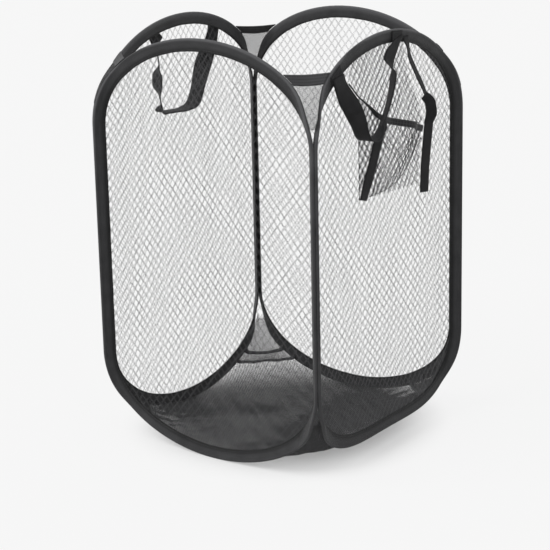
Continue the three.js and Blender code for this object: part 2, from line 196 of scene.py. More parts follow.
class Curve:
    """A smooth curve through points, read by the share of its length."""

    STEPS = 24  # from one point to the next
    NUDGE = 0.002  # share to both sides of a place that its direction is taken over

    def __init__(self, points: Sequence[Vector]) -> None:
        """Lays the curve.

        Args:
            points: the places that it passes.
        """
        ends = [points[0] * 2 - points[1], *points, points[-1] * 2 - points[-2]]
        self.places: Line = []
        for a, b, c, d in zip(ends, ends[1:], ends[2:], ends[3:]):
            before, here, after = (max((q - p).length, LEAST) ** 0.5 for p, q in ((a, b), (b, c), (c, d)))
            start = ((b - a) / before - (c - a) / (before + here) + (c - b) / here) * here
            end = ((c - b) / here - (d - b) / (here + after) + (d - c) / after) * here
            for step in range(self.STEPS):
                t = step / self.STEPS
                self.places.append(b * (2 * t**3 - 3 * t**2 + 1) + start * (t**3 - 2 * t**2 + t)
                                   + c * (3 * t**2 - 2 * t**3) + end * (t**3 - t**2))
        self.places.append(points[-1].copy())
        self.reach = [0.0]
        for a, b in zip(self.places, self.places[1:]):
            self.reach.append(self.reach[-1] + (b - a).length)

    @property
    def length(self) -> float:
        """Length of the curve."""
        return self.reach[-1]

    def at(self, share: float) -> Vector:
        """Place on the curve.

        Args:
            share: how far along it, from 0 to 1.

        Returns:
            The place.
        """
        want = clamp(share) * self.length
        low = min(bisect_right(self.reach, want) - 1, len(self.reach) - 2)
        span = self.reach[low + 1] - self.reach[low]
        return self.places[low].lerp(self.places[low + 1], (want - self.reach[low]) / span if span else 0)

    def direction(self, share: float) -> Vector:
        """Direction at a share of the length."""
        return (self.at(share + self.NUDGE) - self.at(share - self.NUDGE)).normalized()


# The sprung loop


@dataclass(frozen=True)
class Station:
    """A place on the stitched edge of a casing, with its directions."""

    place: Vector
    along: Vector
    across: Vector
    through: Vector
    reach: float = 0.0

    def at(self, width: float, height: float) -> Vector:
        """Point across the casing and through it."""
        return self.place + self.across * width + self.through * height


@dataclass(frozen=True)
class LoopShape:
    """Outline of a panel and the way its casing turns out at the corners."""

    spacing: float = 0.340
    height: float = 0.570
    right_lift: float = 0.024
    top_rise: float = 0.130
    bottom_rise: float = 0.122
    casing_width: float = 0.017
    nose: float = 0.0042
    gap: float = 0.0003
    flare: float = math.pi / 4
    flare_start: float = 0.6
    flare_end: float = 0.97
    side_step_share: float = 0.6
    end_steps: int = 72
    side_steps: int = 26

    @property
    def plane(self) -> float:
        """Distance of a panel's middle plane from the middle of the hamper."""
        return self.spacing / 2

    @property
    def seam_half(self) -> float:
        """Half the width between the stitched edges."""
        return self.plane - (self.nose + self.gap) / math.sqrt(2)

    @property
    def top_base(self) -> float:
        """Rise of the top end of the stitched edge."""
        return self.top_rise - self.casing_width

    @property
    def bottom_base(self) -> float:
        """Rise of the bottom end of the stitched edge."""
        return self.bottom_rise - self.casing_width

    @property
    def top_centre(self) -> float:
        """Height where the top end starts."""
        return self.height - self.top_rise

    @property
    def bottom_centre(self) -> float:
        """Height where the bottom end starts."""
        return self.bottom_rise

    def settled(self, place: Vector) -> Vector:
        """Lifts a place as the right panel's lower end has settled, a little higher than the others.

        Args:
            place: a place on the hamper as cut.

        Returns:
            The lifted place.
        """
        half = self.height / 2
        aside = min(max(place.y / self.spacing, -0.5), 0.5)
        lift = self.right_lift * smooth((half - place.z) / half) * math.cos(math.pi * aside) ** 2
        return place + Vector((0, 0, lift * smooth(place.x / self.plane)))

    def station(self, angle: float, upper: bool) -> Station:
        """Station round the top or the bottom end.

        Args:
            angle: its angle round the end.
            upper: whether it is on the top end.

        Returns:
            The station.
        """
        base = self.top_base if upper else self.bottom_base
        centre = self.top_centre if upper else self.bottom_centre
        place = Vector((self.seam_half * math.cos(angle), -self.plane, centre + base * math.sin(angle)))
        across = Vector((math.cos(angle) / self.seam_half, 0, math.sin(angle) / base)).normalized()
        along = Vector((-across.z, 0, across.x))
        turned = (abs(across.x) - self.flare_start) / (self.flare_end - self.flare_start)
        flare = self.flare * smooth(turned)
        across = across * math.cos(flare)
        across.y = -math.sin(flare)
        return Station(place, along, across, across.cross(along))

    @cached_property
    def loop(self) -> list[Station]:
        """Lays stations all round the loop, with their distance along it.

        Returns:
            The stations, from the top middle and back to it.
        """
        angles = []
        for step in range(self.end_steps + 1):
            left = 1 - abs(2 * step / self.end_steps - 1)
            turn = math.pi / 2 * left * mix(self.side_step_share, 1, left)
            angles.append(turn if step * 2 <= self.end_steps else math.pi - turn)
        upper = [self.station(angle, True) for angle in angles]
        lower = [self.station(angle + math.pi, False) for angle in angles]
        shares = [step / self.side_steps for step in range(1, self.side_steps)]
        made = [*upper, *(self.between(upper[-1], lower[0], share) for share in shares),
                *lower, *(self.between(lower[-1], upper[0], share) for share in shares)]
        made = made[self.end_steps // 2:] + made[:self.end_steps // 2 + 1]
        reach = 0.0
        path = []
        for before, here in zip([made[0], *made], made):
            reach += (here.place - before.place).length
            path.append(replace(here, reach=reach))
        return path

    @staticmethod
    def between(start: Station, end: Station, share: float) -> Station:
        """Station on the straight side between two."""
        return replace(start, place=start.place.lerp(end.place, share))

    def top_at(self, x: float) -> Station:
        """Station on the top end whose stitched edge is at x."""
        return self.station(math.acos(max(-1.0, min(1.0, x / self.seam_half))), True)

    def inside(self, x: float, z: float, margin: float) -> bool:
        """Tells whether a place lies within the stitched edge.

        Args:
            x: place along the panel.
            z: its height.
            margin: how far within the edge it has to be.

        Returns:
            True if it does.
        """
        above = max(z - self.top_centre, 0) / (self.top_base - margin)
        below = max(self.bottom_centre - z, 0) / (self.bottom_base - margin)
        return (x / (self.seam_half - margin)) ** 2 + (above + below) ** 2 < 1


SHAPE = LoopShape()


# Finishes


class Nodes:
    """A node tree with a short way to add and join nodes."""

    def __init__(self, owner: bpy.types.Material | bpy.types.World) -> None:
        """Clears the tree of a material or a world.

        Args:
            owner: what the tree belongs to.
        """
        owner.use_nodes = True
        self.tree = owner.node_tree
        self.tree.nodes.clear()

    def feed(self, socket: Socket, value: object) -> None:
        """Sets an input, or joins an output to it.

        Args:
            socket: the input.
            value: a constant value, or the output of another node.
        """
        if isinstance(value, bpy.types.NodeSocket):
            self.tree.links.new(value, socket)
        else:
            socket.default_value = value

    def add(self, kind: str, *parts: object, **values: object) -> bpy.types.Node:
        """Adds a node.

        Args:
            kind: the node's type, without ShaderNode in front.
            parts: what feeds its first inputs, in their order.
            values: its settings, and what feeds other inputs, by name with _ for a space.

        Returns:
            The node.
        """
        node = self.tree.nodes.new(f"ShaderNode{kind}")
        for key, value in values.items():
            if hasattr(node, key):
                setattr(node, key, value)
            else:
                self.feed(node.inputs[key.replace("_", " ")], value)
        for socket, value in zip(node.inputs, parts):
            self.feed(socket, value)
        return node

    def take(self, output: str, kind: str, *parts: object, **values: object) -> Socket:
        """Adds a node and gives one of its outputs."""
        return self.add(kind, *parts, **values).outputs[output]

    def value(self, operation: str, *parts: object) -> Socket:
        """Result of a Math node."""
        return self.take("Value", "Math", *parts, operation=operation)

    def sum_of(self, first: Socket, weight: float, second: Socket, other: float) -> Socket:
        """Sum of two values, each times a weight."""
        return self.value("MULTIPLY_ADD", first, weight, self.value("MULTIPLY", second, other))

    def ramp(self, value: Socket, limits: tuple[float, float], results: tuple[float, float]) -> Socket:
        """Eased change from one result to another between two limits."""
        return self.take("Result", "MapRange", interpolation_type="SMOOTHSTEP", Value=value,
                         From_Min=limits[0], From_Max=limits[1], To_Min=results[0], To_Max=results[1])


class Surface(Nodes):
    """The nodes of a material, round its surface shader."""

    def __init__(self, name: str) -> None:
        """Starts a material.

        Args:
            name: the material's name.
        """
        self.material = bpy.data.materials.new(name)
        super().__init__(self.material)
        self.shader = self.add("BsdfPrincipled")
        self.add("OutputMaterial", Surface=self.shader.outputs["BSDF"])

    def shade(self, **values: object) -> None:
        """Feeds inputs of the surface shader, by name with _ for a space."""
        for key, value in values.items():
            self.feed(self.shader.inputs[key.replace("_", " ")], value)

    def cloth_map(self, along: float, across: float) -> Socket:
        """Coordinates that follow the cloth, repeated so many times a metre along it and across it."""
        place = self.take("UV", "UVMap", uv_map=CLOTH_MAP)
        return self.take("Vector", "Mapping", Vector=place, Scale=(along, across, 1))

    def object_map(self) -> Socket:
        """Coordinates in the hamper's own frame."""
        return self.take("Object", "TexCoord")

    def apart(self, place: Socket) -> bpy.types.NodeOutputs:
        """The X, Y and Z of some coordinates."""
        return self.add("SeparateXYZ", place).outputs

    def grain(self, place: Socket, scale: float, detail: float = 3) -> Socket:
        """Noise from 0 to 1, of a scale and with so many octaves."""
        return self.take("Fac", "TexNoise", Vector=place, Scale=scale, Detail=detail)

    def bands(self, place: Socket, direction: str) -> Socket:
        """Smooth ribs from 0 to 1, one to a unit, in the direction X, Y or DIAGONAL."""
        return self.take("Fac", "TexWave", Vector=place, bands_direction=direction, Scale=RIB_SCALE)

    def colours(self, share: Socket, dark: Colour, light: Colour) -> None:
        """Sets the base colour.

        Args:
            share: how far it lies from the dark colour to the light one.
            dark: the dark colour.
            light: the light colour.
        """
        blend = self.add("Mix", share, data_type="RGBA")
        for socket, colour in zip(blend.inputs[MIX_COLOURS], (dark, light)):
            socket.default_value = (*colour, 1)
        self.shade(Base_Color=blend.outputs[MIX_RESULT])

    def relief(self, height: Socket, depth: float) -> None:
        """Bumps of a depth in metres."""
        self.shade(Normal=self.take("Normal", "Bump", Height=height, Strength=1.0, Distance=depth))

    def roughness(self, share: Socket, limits: tuple[float, float]) -> None:
        """Roughness between two limits by a share."""
        spread = self.take("Result", "MapRange", Value=share, To_Min=limits[0], To_Max=limits[1])
        self.shade(Roughness=spread)

    def fuzz(self, sheen: float, rough: float, shine: float) -> None:
        """Sheen of the fibres with its roughness, and how strongly the surface mirrors."""
        self.shade(Sheen_Weight=sheen, Sheen_Roughness=rough, Specular_IOR_Level=shine)


@dataclass(frozen=True)
class Finish:
    """A finish, with the two colours that its tone lies between."""

    name: str
    dark: Colour
    light: Colour

    def make(self) -> bpy.types.Material:
        """Builds the material.

        Returns:
            The material.
        """
        surface = Surface(self.name)
        self.paint(surface)
        return surface.material

    def paint(self, surface: Surface) -> None:
        """Sets a surface's colours, relief and shine."""
        raise NotImplementedError


@dataclass(frozen=True)
class PlainWeave(Finish):
    """Finely woven cloth, such as the casings and hems."""

    threads: float = 1900
    contrast: float = 0.25
    slub_map: tuple[float, float] = (60, 900)
    slub_share: float = 0.45
    crease_scale: float = 45
    crease_detail: float = 4
    weave_relief: float = 0.35
    crease_relief: float = 1.6
    relief_depth: float = 0.00035
    rough: tuple[float, float] = (0.55, 0.8)
    sheen: float = 0.08
    sheen_rough: float = 0.5
    shine: float = 0.2
    folded_width: float = 0.0
    # trim and the next line: how far in from each stitched edge the painted shade eases off, and the share
    # of the tone that it leaves
    trim: tuple[float, float] = (0.0035, 0.0075)
    painted_seam_shade: tuple[float, float] = (0.12, 0.68)
    # The next lines set the painted highlight over the wire: the band round the nose where it comes in, the
    # heights over which it grows stronger, and the cloud of patches that it lies in
    nose_highlight_band: tuple[float, float] = (0.009, 0.017)
    highlight_heights: tuple[float, float] = (0.34, 0.56)
    highlight_strengths: tuple[float, float] = (0.1, 1.6)
    patch_scale: float = 8
    patch_detail: float = 2
    patch_limits: tuple[float, float] = (0.32, 0.52)

    def paint(self, surface: Surface) -> None:
        """Threads, slubs and creases, and on folded cloth painted shade along its stitched edges and a
        painted highlight over the wire.

        Args:
            surface: the material's nodes.
        """
        cloth_place = surface.cloth_map(self.threads, self.threads)
        weave = surface.value("MAXIMUM", surface.bands(cloth_place, "X"), surface.bands(cloth_place, "Y"))
        slub = surface.grain(surface.cloth_map(*self.slub_map), 1.0)
        creases = surface.grain(surface.object_map(), self.crease_scale, self.crease_detail)
        tone = surface.sum_of(slub, self.slub_share, creases, 1 - self.slub_share)
        tone = surface.value("MULTIPLY_ADD", weave, self.contrast, tone)
        tone = surface.value("SUBTRACT", tone, self.contrast / 2)
        if self.folded_width:
            tone = self.trimmed_and_worn(surface, tone)
        surface.colours(tone, self.dark, self.light)
        relief = surface.sum_of(weave, self.weave_relief, creases, self.crease_relief)
        surface.relief(relief, self.relief_depth)
        surface.roughness(slub, self.rough)
        surface.fuzz(self.sheen, self.sheen_rough, self.shine)

    def trimmed_and_worn(self, surface: Surface, tone: Socket) -> Socket:
        """Paints shade on folded cloth along its stitched edges, and a highlight in patches where it lies
        over the wire, stronger higher up.

        Args:
            surface: the material's nodes.
            tone: the cloth's tone.

        Returns:
            The changed tone.
        """
        across = surface.apart(surface.cloth_map(1, 1))["Y"]
        inwards = surface.value("PINGPONG", across, self.folded_width / 2)
        # painted shade in the hollow along each stitched edge
        shade = surface.ramp(inwards, self.trim, self.painted_seam_shade)
        # painted highlight along the nose, where the cloth lies over the wire, in cloud patches and stronger
        # higher up; it pales the tone
        wear_and_highlight = surface.ramp(inwards, self.nose_highlight_band, (0.0, 1.0))
        height = surface.apart(surface.object_map())["Z"]
        highlight_by_height = surface.ramp(height, self.highlight_heights, self.highlight_strengths)
        cloud = surface.grain(surface.object_map(), self.patch_scale, self.patch_detail)
        patches = surface.ramp(cloud, self.patch_limits, (0.0, 1.0))
        pale = surface.value("MULTIPLY", wear_and_highlight, surface.value("MULTIPLY", patches, highlight_by_height))
        return surface.value("MULTIPLY_ADD", tone, shade, pale)


@dataclass(frozen=True)
class Webbing(Finish):
    """Heavy ribbed tape of the handles and the pocket's sides."""

    ribs: float = 620
    picks: float = 1100
    rib_share: float = 0.5
    wear_scale: float = 70
    wear_detail: float = 4
    relief_depth: float = 0.0003
    rough: tuple[float, float] = (0.6, 0.85)
    sheen: float = 0.04
    sheen_rough: float = 0.5
    shine: float = 0.12

    def paint(self, surface: Surface) -> None:
        """Ribs and twill, worn in patches.

        Args:
            surface: the material's nodes.
        """
        cloth_place = surface.cloth_map(self.picks, self.ribs)
        ribs, twill = (surface.bands(cloth_place, direction) for direction in ("Y", "DIAGONAL"))
        weave = surface.sum_of(twill, 1 - self.rib_share, ribs, self.rib_share)
        wear_and_highlight = surface.grain(surface.object_map(), self.wear_scale, self.wear_detail)
        surface.colours(surface.value("MULTIPLY", weave, wear_and_highlight), self.dark, self.light)
        surface.relief(weave, self.relief_depth)
        surface.roughness(wear_and_highlight, self.rough)
        surface.fuzz(self.sheen, self.sheen_rough, self.shine)


@dataclass(frozen=True)
class Yarn(Finish):
    """Polyester yarn of the nets and of the stitching."""

    twist_scale: float = 900
    twist_share: float = 0.4
    patch_scale: float = 14
    detail: float = 2
    rough: tuple[float, float] = (0.42, 0.62)
    shine: float = 0.5

    def paint(self, surface: Surface) -> None:
        """Fine twist, uneven in patches.

        Args:
            surface: the material's nodes.
        """
        place = surface.object_map()
        twist = surface.grain(place, self.twist_scale, self.detail)
        patches = surface.grain(place, self.patch_scale, self.detail)
        tone = surface.sum_of(twist, self.twist_share, patches, 1 - self.twist_share)
        surface.colours(tone, self.dark, self.light)
        surface.roughness(twist, self.rough)
        surface.shade(Specular_IOR_Level=self.shine)


@dataclass(frozen=True)
class DrawnWire(Finish):
    """Spring steel wire with fine drawing marks."""

    mark_scale: float = 1200
    relief_depth: float = 0.00002
    rough: tuple[float, float] = (0.28, 0.42)

    def paint(self, surface: Surface) -> None:
        """Bright metal with its marks.

        Args:
            surface: the material's nodes.
        """
        marks = surface.grain(surface.object_map(), self.mark_scale)
        surface.colours(marks, self.dark, self.light)
        surface.roughness(marks, self.rough)
        surface.relief(marks, self.relief_depth)
        surface.shade(Metallic=1.0)


class Finishes:
    """Every finish of the hamper, made once."""

    def __init__(self) -> None:
        """Makes the materials."""
        self.casing = PlainWeave("Casing cloth", (0.002, 0.002, 0.0022), (0.066, 0.066, 0.069),
                                 folded_width=0.0385).make()
        self.band = PlainWeave("Band cloth", (0.003, 0.003, 0.0033), (0.036, 0.036, 0.038), threads=300,
                               contrast=0.8).make()
        self.webbing = Webbing("Handle webbing", (0.004, 0.004, 0.0043), (0.05, 0.05, 0.052)).make()
        self.net = Yarn("Panel net yarn", (0.025, 0.025, 0.026), (0.09, 0.09, 0.094)).make()
        self.dense_net = Yarn("Floor net yarn", (0.006, 0.006, 0.0065), (0.026, 0.026, 0.028)).make()
        self.stitch = Yarn("Sewing thread", (0.01, 0.01, 0.011), (0.035, 0.035, 0.037)).make()
        self.steel = DrawnWire("Spring wire", (0.42, 0.43, 0.45), (0.62, 0.63, 0.65)).make()


# Cloth, yarns and nets


def mesh_of(bm: bmesh.types.BMesh, name: str) -> bpy.types.Mesh:
    """Turns an edited mesh into a finished one.

    Args:
        bm: the edited mesh, which is freed.
        name: the mesh's name.

    Returns:
        The mesh.
    """
    mesh = bpy.data.meshes.new(name)
    bm.to_mesh(mesh)
    bm.free()
    return mesh


def finished(name: str, mesh: bpy.types.Mesh, material: bpy.types.Material) -> bpy.types.Object:
    """Links a finished mesh as an object.

    Args:
        name: the object's name.
        mesh: its mesh.
        material: its finish.

    Returns:
        The object.
    """
    mesh.materials.clear()
    mesh.materials.append(material)
    piece = bpy.data.objects.new(name, mesh)
    bpy.context.scene.collection.objects.link(piece)
    return piece


def cloth(name: str, cells: tuple[int, int], place: Place, size: tuple[float, float], thickness: float,
          material: bpy.types.Material, turn: Matrix) -> bpy.types.Object:
    """Makes a piece of cloth from a grid that is laid out point by point.

    Args:
        name: the piece's name.
        cells: how many cells it has along and across.
        place: where the grid point at a column and row lies.
        size: its length and width, for the weave.
        thickness: how thick the cloth is.
        material: its finish.
        turn: brings the piece to its side of the hamper.

    Returns:
        The piece.
    """
    bm = bmesh.new()
    bmesh.ops.create_grid(bm, x_segments=cells[0], y_segments=cells[1], size=1)
    weave = bm.loops.layers.uv.new(CLOTH_MAP)
    for face in bm.faces:
        for corner in face.loops:
            x, y = corner.vert.co.xy
            corner[weave].uv = ((x + 1) / 2 * size[0], (y + 1) / 2 * size[1])
    for vert in bm.verts:
        column = round((vert.co.x + 1) / 2 * cells[0])
        row = round((vert.co.y + 1) / 2 * cells[1])
        vert.co = SHAPE.settled(turn @ place(column, row))
    bmesh.ops.remove_doubles(bm, verts=bm.verts, dist=thickness * WELD_SHARE)
    for face in bm.faces:
        face.smooth = True
    piece = finished(name, mesh_of(bm, name), material)
    wall = piece.modifiers.new("Cloth thickness", "SOLIDIFY")
    wall.thickness = thickness
    wall.offset = 0
    return piece


def yarns(name: str, lines: Iterable[Line], radius: float, material: bpy.types.Material, turn: Matrix,
          capped: bool = False) -> bpy.types.Object:
    """Makes many thin yarns as one mesh.

    Args:
        name: the piece's name.
        lines: the places that each yarn passes.
        radius: the yarns' radius.
        material: their finish.
        turn: brings the piece to its side of the hamper.
        capped: whether their ends are closed.

    Returns:
        The piece.
    """
    curve = bpy.data.curves.new(name, "CURVE")
    curve.dimensions = "3D"
    curve.bevel_depth = radius
    curve.bevel_resolution = 0
    curve.use_fill_caps = capped
    for line in lines:
        spline = curve.splines.new("POLY")
        spline.points.add(len(line) - 1)
        places = [SHAPE.settled(turn @ point) for point in line]
        spline.points.foreach_set("co", [value for place in places for value in (*place, 1.0)])
    holder = bpy.data.objects.new(name, curve)
    bpy.context.scene.collection.objects.link(holder)
    bpy.context.view_layer.update()
    mesh = bpy.data.meshes.new_from_object(holder.evaluated_get(bpy.context.evaluated_depsgraph_get()))
    bpy.data.objects.remove(holder)
    bpy.data.curves.remove(curve)
    mesh.name = name
    if capped:
        bm = bmesh.new()
        bm.from_mesh(mesh)
        bmesh.ops.remove_doubles(bm, verts=bm.verts, dist=radius * WELD_SHARE)
        bm.to_mesh(mesh)
        bm.free()
    return finished(name, mesh, material)


@dataclass(frozen=True)
class Patch:
    """A flat area to be netted: its limits, a test for what is on it, and where a flat place lies."""

    low: tuple[float, float]
    high: tuple[float, float]
    inside: Callable[[float, float], bool]
    lift: Callable[[float, float], Vector]

    def edge(self, clear: Vector, held: Vector) -> Vector:
        """Finds where a yarn crosses the outline.

        Args:
            clear: a flat place on the yarn outside the area.
            held: its neighbour inside.

        Returns:
            The crossing, in its real place.
        """
        for _ in range(EDGE_HALVINGS):
            middle = clear.lerp(held, 0.5)
            clear, held = (clear, middle) if self.inside(*middle) else (middle, held)
        return self.lift(*held)

    def clipped(self, places: Sequence[Vector]) -> list[Line]:
        """Cuts a yarn to the area.

        Args:
            places: the flat places that the yarn passes.

        Returns:
            Its stretches inside, in their real shape.
        """
        made: list[Line] = []
        line: Line = []
        before = None
        for place in places:
            held = self.inside(*place)
            if held and not line and before is not None:
                line.append(self.edge(before, place))
            if held:
                line.append(self.lift(*place))
            elif line:
                made.append([*line, self.edge(place, before)])
                line = []
            before = place
        return [*made, line] if len(line) > 1 else made


@dataclass(frozen=True)
class Knit:
    """Fine net of crossing yarns with closed ends."""

    spacing: float
    radius: float
    slope: float
    step: float
    capped: bool = True

    def lines(self, patch: Patch) -> list[Line]:
        """Lays the yarns.

        Args:
            patch: the area that they fill.

        Returns:
            The yarns.
        """
        made: list[Line] = []
        size = math.hypot(1, self.slope)
        corners = [Vector((x, z)) for x in (patch.low[0], patch.high[0])
                   for z in (patch.low[1], patch.high[1])]
        for way in (1, -1):
            along = Vector((1 / size, way * self.slope / size))
            aside = Vector((-along.y, along.x))
            first, last = (limit(corner.dot(aside) for corner in corners) for limit in (min, max))
            near, far = (limit(corner.dot(along) for corner in corners) for limit in (min, max))
            count = math.ceil((far - near) / self.step)
            for number in range(math.ceil((last - first) / self.spacing)):
                base = aside * (first + number * self.spacing)
                made += patch.clipped([base + along * mix(near, far, k / count) for k in range(count + 1)])
        return made


@dataclass(frozen=True)
class OpenKnit:
    """Open net of upright yarns that sway from side to side and meet their neighbours."""

    width: float
    height: float
    radius: float
    strands: int = 2
    strand_gap: float = 0.0016
    joint_share: float = 0.3
    joint_clearance: float = 0.6
    wander: Ripple = Ripple((38, 38), 0.0013, 21.0)
    wander_shift: float = 14.0
    run_points: int = 41
    capped: bool = False

    def strayed(self, place: Vector) -> Vector:
        """Place on the net after its cells have been pulled a little out of line."""
        return place + Vector((self.wander.at(*place), self.wander.at(*place, self.wander_shift)))

    def sway(self, turn: float) -> float:
        """How far a yarn leans over, from -1 to 1, after a share of a turn."""
        return max(-1.0, min(1.0, (4 * abs(turn % 1.0 - 0.5) - 1) / (1 - self.joint_share)))

    def lines(self, patch: Patch) -> list[Line]:
        """Lays the strands of yarn.

        Args:
            patch: the area that they fill.

        Returns:
            The strands, in runs of run_points places.
        """
        made: list[Line] = []
        spread = (self.strands - 1) / 2
        reach = self.width / 4 - self.joint_clearance * self.radius - spread * self.strand_gap
        corner = self.joint_share / 4
        rounds = math.ceil(2 * (patch.high[1] - patch.low[1]) / self.height) + 1
        turns = [k / 2 + shift for k in range(rounds) for shift in (-corner, corner)]
        for number in range(round(2 * (patch.high[0] - patch.low[0]) / self.width) + 1):
            middle = patch.low[0] + number * self.width / 2
            phase = 0.5 * (number % 2)
            for strand in range(self.strands):
                aside = middle + (strand - spread) * self.strand_gap
                places = [self.strayed(Vector((aside + reach * self.sway(turn + phase),
                                               patch.low[1] + turn * self.height))) for turn in turns]
                for start in range(0, len(places) - 1, self.run_points - 1):
                    made += patch.clipped(places[start:start + self.run_points])
        return made


def net_of(name: str, knit: Knit | OpenKnit, patch: Patch,
           rests_on: list[str], material: bpy.types.Material, turn: Matrix) -> bpy.types.Object:
    """Makes a net of yarns laid over an area. Of yarns with closed ends, half of the
    skin is declared.

    Args:
        name: the piece's name.
        knit: how it is knitted.
        patch: the area that it fills.
        rests_on: what it is sewn to; not used.
        material: its finish.
        turn: brings the piece to its side of the hamper.

    Returns:
        The net.
    """
    lines = knit.lines(patch)
    piece = yarns(name, lines, knit.radius, material, turn, knit.capped)
    skin = sum(map(length_of, lines)) * SKIN_SIDES * math.sqrt(2) * knit.radius
    return piece


def put(piece: bpy.types.Object, slot: Slot, body: str, *nodes: str) -> None:
    """Attaches a piece to its body, and hides the solids that it stands for.

    Args:
        piece: the piece.
        slot: its material slot; not used.
        body: the rigid body that it rides on.
        nodes: names of the solids that it replaces.
    """
    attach(piece, body)
    if nodes:
        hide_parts(*nodes)


# Panels


@dataclass
class Panel:
    """One panel: its casing, net and stitching, over the wire of the frame."""

    side: Side
    finishes: Finishes
    cloth_thickness: float = 0.0006
    nose_radius: float = 0.0020
    nose_angles: range = range(125, -1, -25)
    hem_half: float = 0.00085
    hem_profile: Table = ((0.0, 1.0), (0.0012, 0.92), (0.0022, 0.62), (0.0032, 0.95), (0.006, 1.28),
                          (0.0090, 1.36), (0.0115, 1.55))  # width, and height in shares of hem_half
    free_width: float = 0.014
    edge_width: float = 0.006
    pattern_step: float = 3.1
    face_shifts: tuple[float, float] = (2, 3)
    pucker: Ripple = Ripple((95, 95), 0.0006, 0.0)
    slack: Ripple = Ripple((30, 30), 0.0010, 7.0)
    edge: Ripple = Ripple((60, 60), 0.0004, 11.0)
    billow: Ripple = Ripple((9, 9), 0.0012, 4.0)
    knit: OpenKnit = OpenKnit(width=0.0121, height=0.0147, radius=0.00018)
    net_hold: float = 0.0009
    stitch_length: float = 0.0028
    stitch_pitch: float = 0.0041
    stitch_line: float = 0.0022
    stitch_seat: float = 0.62
    stitch_arch: float = 0.00016
    stitch_sink: float = 0.00012
    stitch_radius: float = 0.00022

    def build(self) -> None:
        """Builds the panel's pieces."""
        self.casing()
        self.net()
        self.stitching()
        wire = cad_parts[f"{self.side.body}_wire"]
        wire.data.materials.clear()
        wire.data.materials.append(self.finishes.steel)
        log.info("panel %s", self.side.body)

    def section(self) -> list[tuple[float, float]]:
        """Section of the folded cloth, as width across the casing and height through it.

        Returns:
            The section, from one stitched edge round the nose to the other.
        """
        seat = SHAPE.casing_width - SHAPE.nose / 2
        half = [(width, self.hem_half * share) for width, share in self.hem_profile]
        for angle in self.nose_angles:
            turn = math.radians(angle)
            half.append((seat + self.nose_radius * math.cos(turn), self.nose_radius * math.sin(turn)))
        return half + [(width, -height) for width, height in reversed(half[:-1])]

    def casing(self) -> None:
        """Cloth folded round the wire, with puckers along its seam."""
        section = self.section()
        path = SHAPE.loop
        length = path[-1].reach
        pattern = self.pattern_step * self.side.value

        def place(column: int, row: int) -> Vector:
            """Lays a point of the cloth.

            Args:
                column: its station round the loop.
                row: its point of the section.

            Returns:
                Its place.
            """
            here = path[column]
            width, height = section[row]
            face = 1 if height > 0 else -1
            turn = 2 * math.pi * here.reach / length
            around = Vector((math.cos(turn), math.sin(turn))) * length / (2 * math.pi)
            free = math.sin(math.pi * min(width / self.free_width, 1.0))
            lift = sum(ripple.at(*around, pattern + shift * face)
                       for ripple, shift in zip((self.pucker, self.slack), self.face_shifts))
            edge = self.edge.at(*around, pattern) * (1 - min(width / self.edge_width, 1.0))
            return here.at(width + edge, height + face * free * lift)

        width = sum(math.dist(a, b) for a, b in zip(section, section[1:]))
        piece = cloth(self.side.casing, (len(path) - 1, len(section) - 1), place, (length, width),
                      self.cloth_thickness, self.finishes.casing, self.side.turn)
        put(piece, Slot.CASING, self.side.body, f"{self.side.body}_casing")

    def net_place(self, x: float, z: float) -> Vector:
        """Place of the net, which is taut with a little unevenness."""
        return Vector((x, -SHAPE.plane - self.billow.at(x, z, self.side.value), z))

    def net(self) -> None:
        """Net that fills the panel."""
        half = SHAPE.seam_half
        patch = Patch((-half, 0), (half, SHAPE.height), lambda x, z: SHAPE.inside(x, z, -self.net_hold),
                      self.net_place)
        piece = net_of(f"{self.side.body}_net_yarns", self.knit, patch,
                       [self.side.casing], self.finishes.net, self.side.turn)
        put(piece, Slot.NET, self.side.body, f"{self.side.body}_net")

    def stitching(self) -> None:
        """Row of stitches on both faces of the casing, along its seam."""
        path = SHAPE.loop
        reaches = [station.reach for station in path]
        lift = self.hem_half * self.stitch_seat + self.cloth_thickness / 2
        lines: list[Line] = []
        for number in range(int(reaches[-1] / self.stitch_pitch)):
            for face in (1, -1):
                line: Line = []
                for k, rise in enumerate((-self.stitch_sink, self.stitch_arch, -self.stitch_sink)):
                    mark = number * self.stitch_pitch + self.stitch_length * k / 2
                    index = min(max(bisect_left(reaches, mark) - 1, 0), len(path) - 2)
                    start, end = path[index:index + 2]
                    share = (mark - start.reach) / max(end.reach - start.reach, LEAST)
                    ends = [station.at(self.stitch_line, face * (lift + rise)) for station in (start, end)]
                    line.append(ends[0].lerp(ends[1], share))
                lines.append(line)
        piece = yarns(f"{self.side.body}_casing_stitches", lines, self.stitch_radius, self.finishes.stitch,
                      self.side.turn)
        put(piece, Slot.CASING, self.side.body)


# Corners and floor


def join_corner(piece: bpy.types.Object, slot: Slot, corner: Corner, *nodes: str) -> None:
    """Attaches a corner piece to the back panel at the back right corner, or else bakes its place into its
    mesh, and hides the solids that it replaces.

    Args:
        piece: the piece.
        slot: its material slot; not used.
        corner: its corner.
        nodes: names of the solids that it replaces.
    """
    bend_reach = 0.06
    if corner is Corner.BACK_RIGHT:
        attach(piece, "back")
        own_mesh(piece)
    else:
        start = corner.turn @ Vector((SHAPE.plane - bend_reach, -SHAPE.plane, 0))
        end = corner.turn @ Vector((SHAPE.plane, -SHAPE.plane + bend_reach, 0))
        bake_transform(piece)
    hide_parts(*nodes)


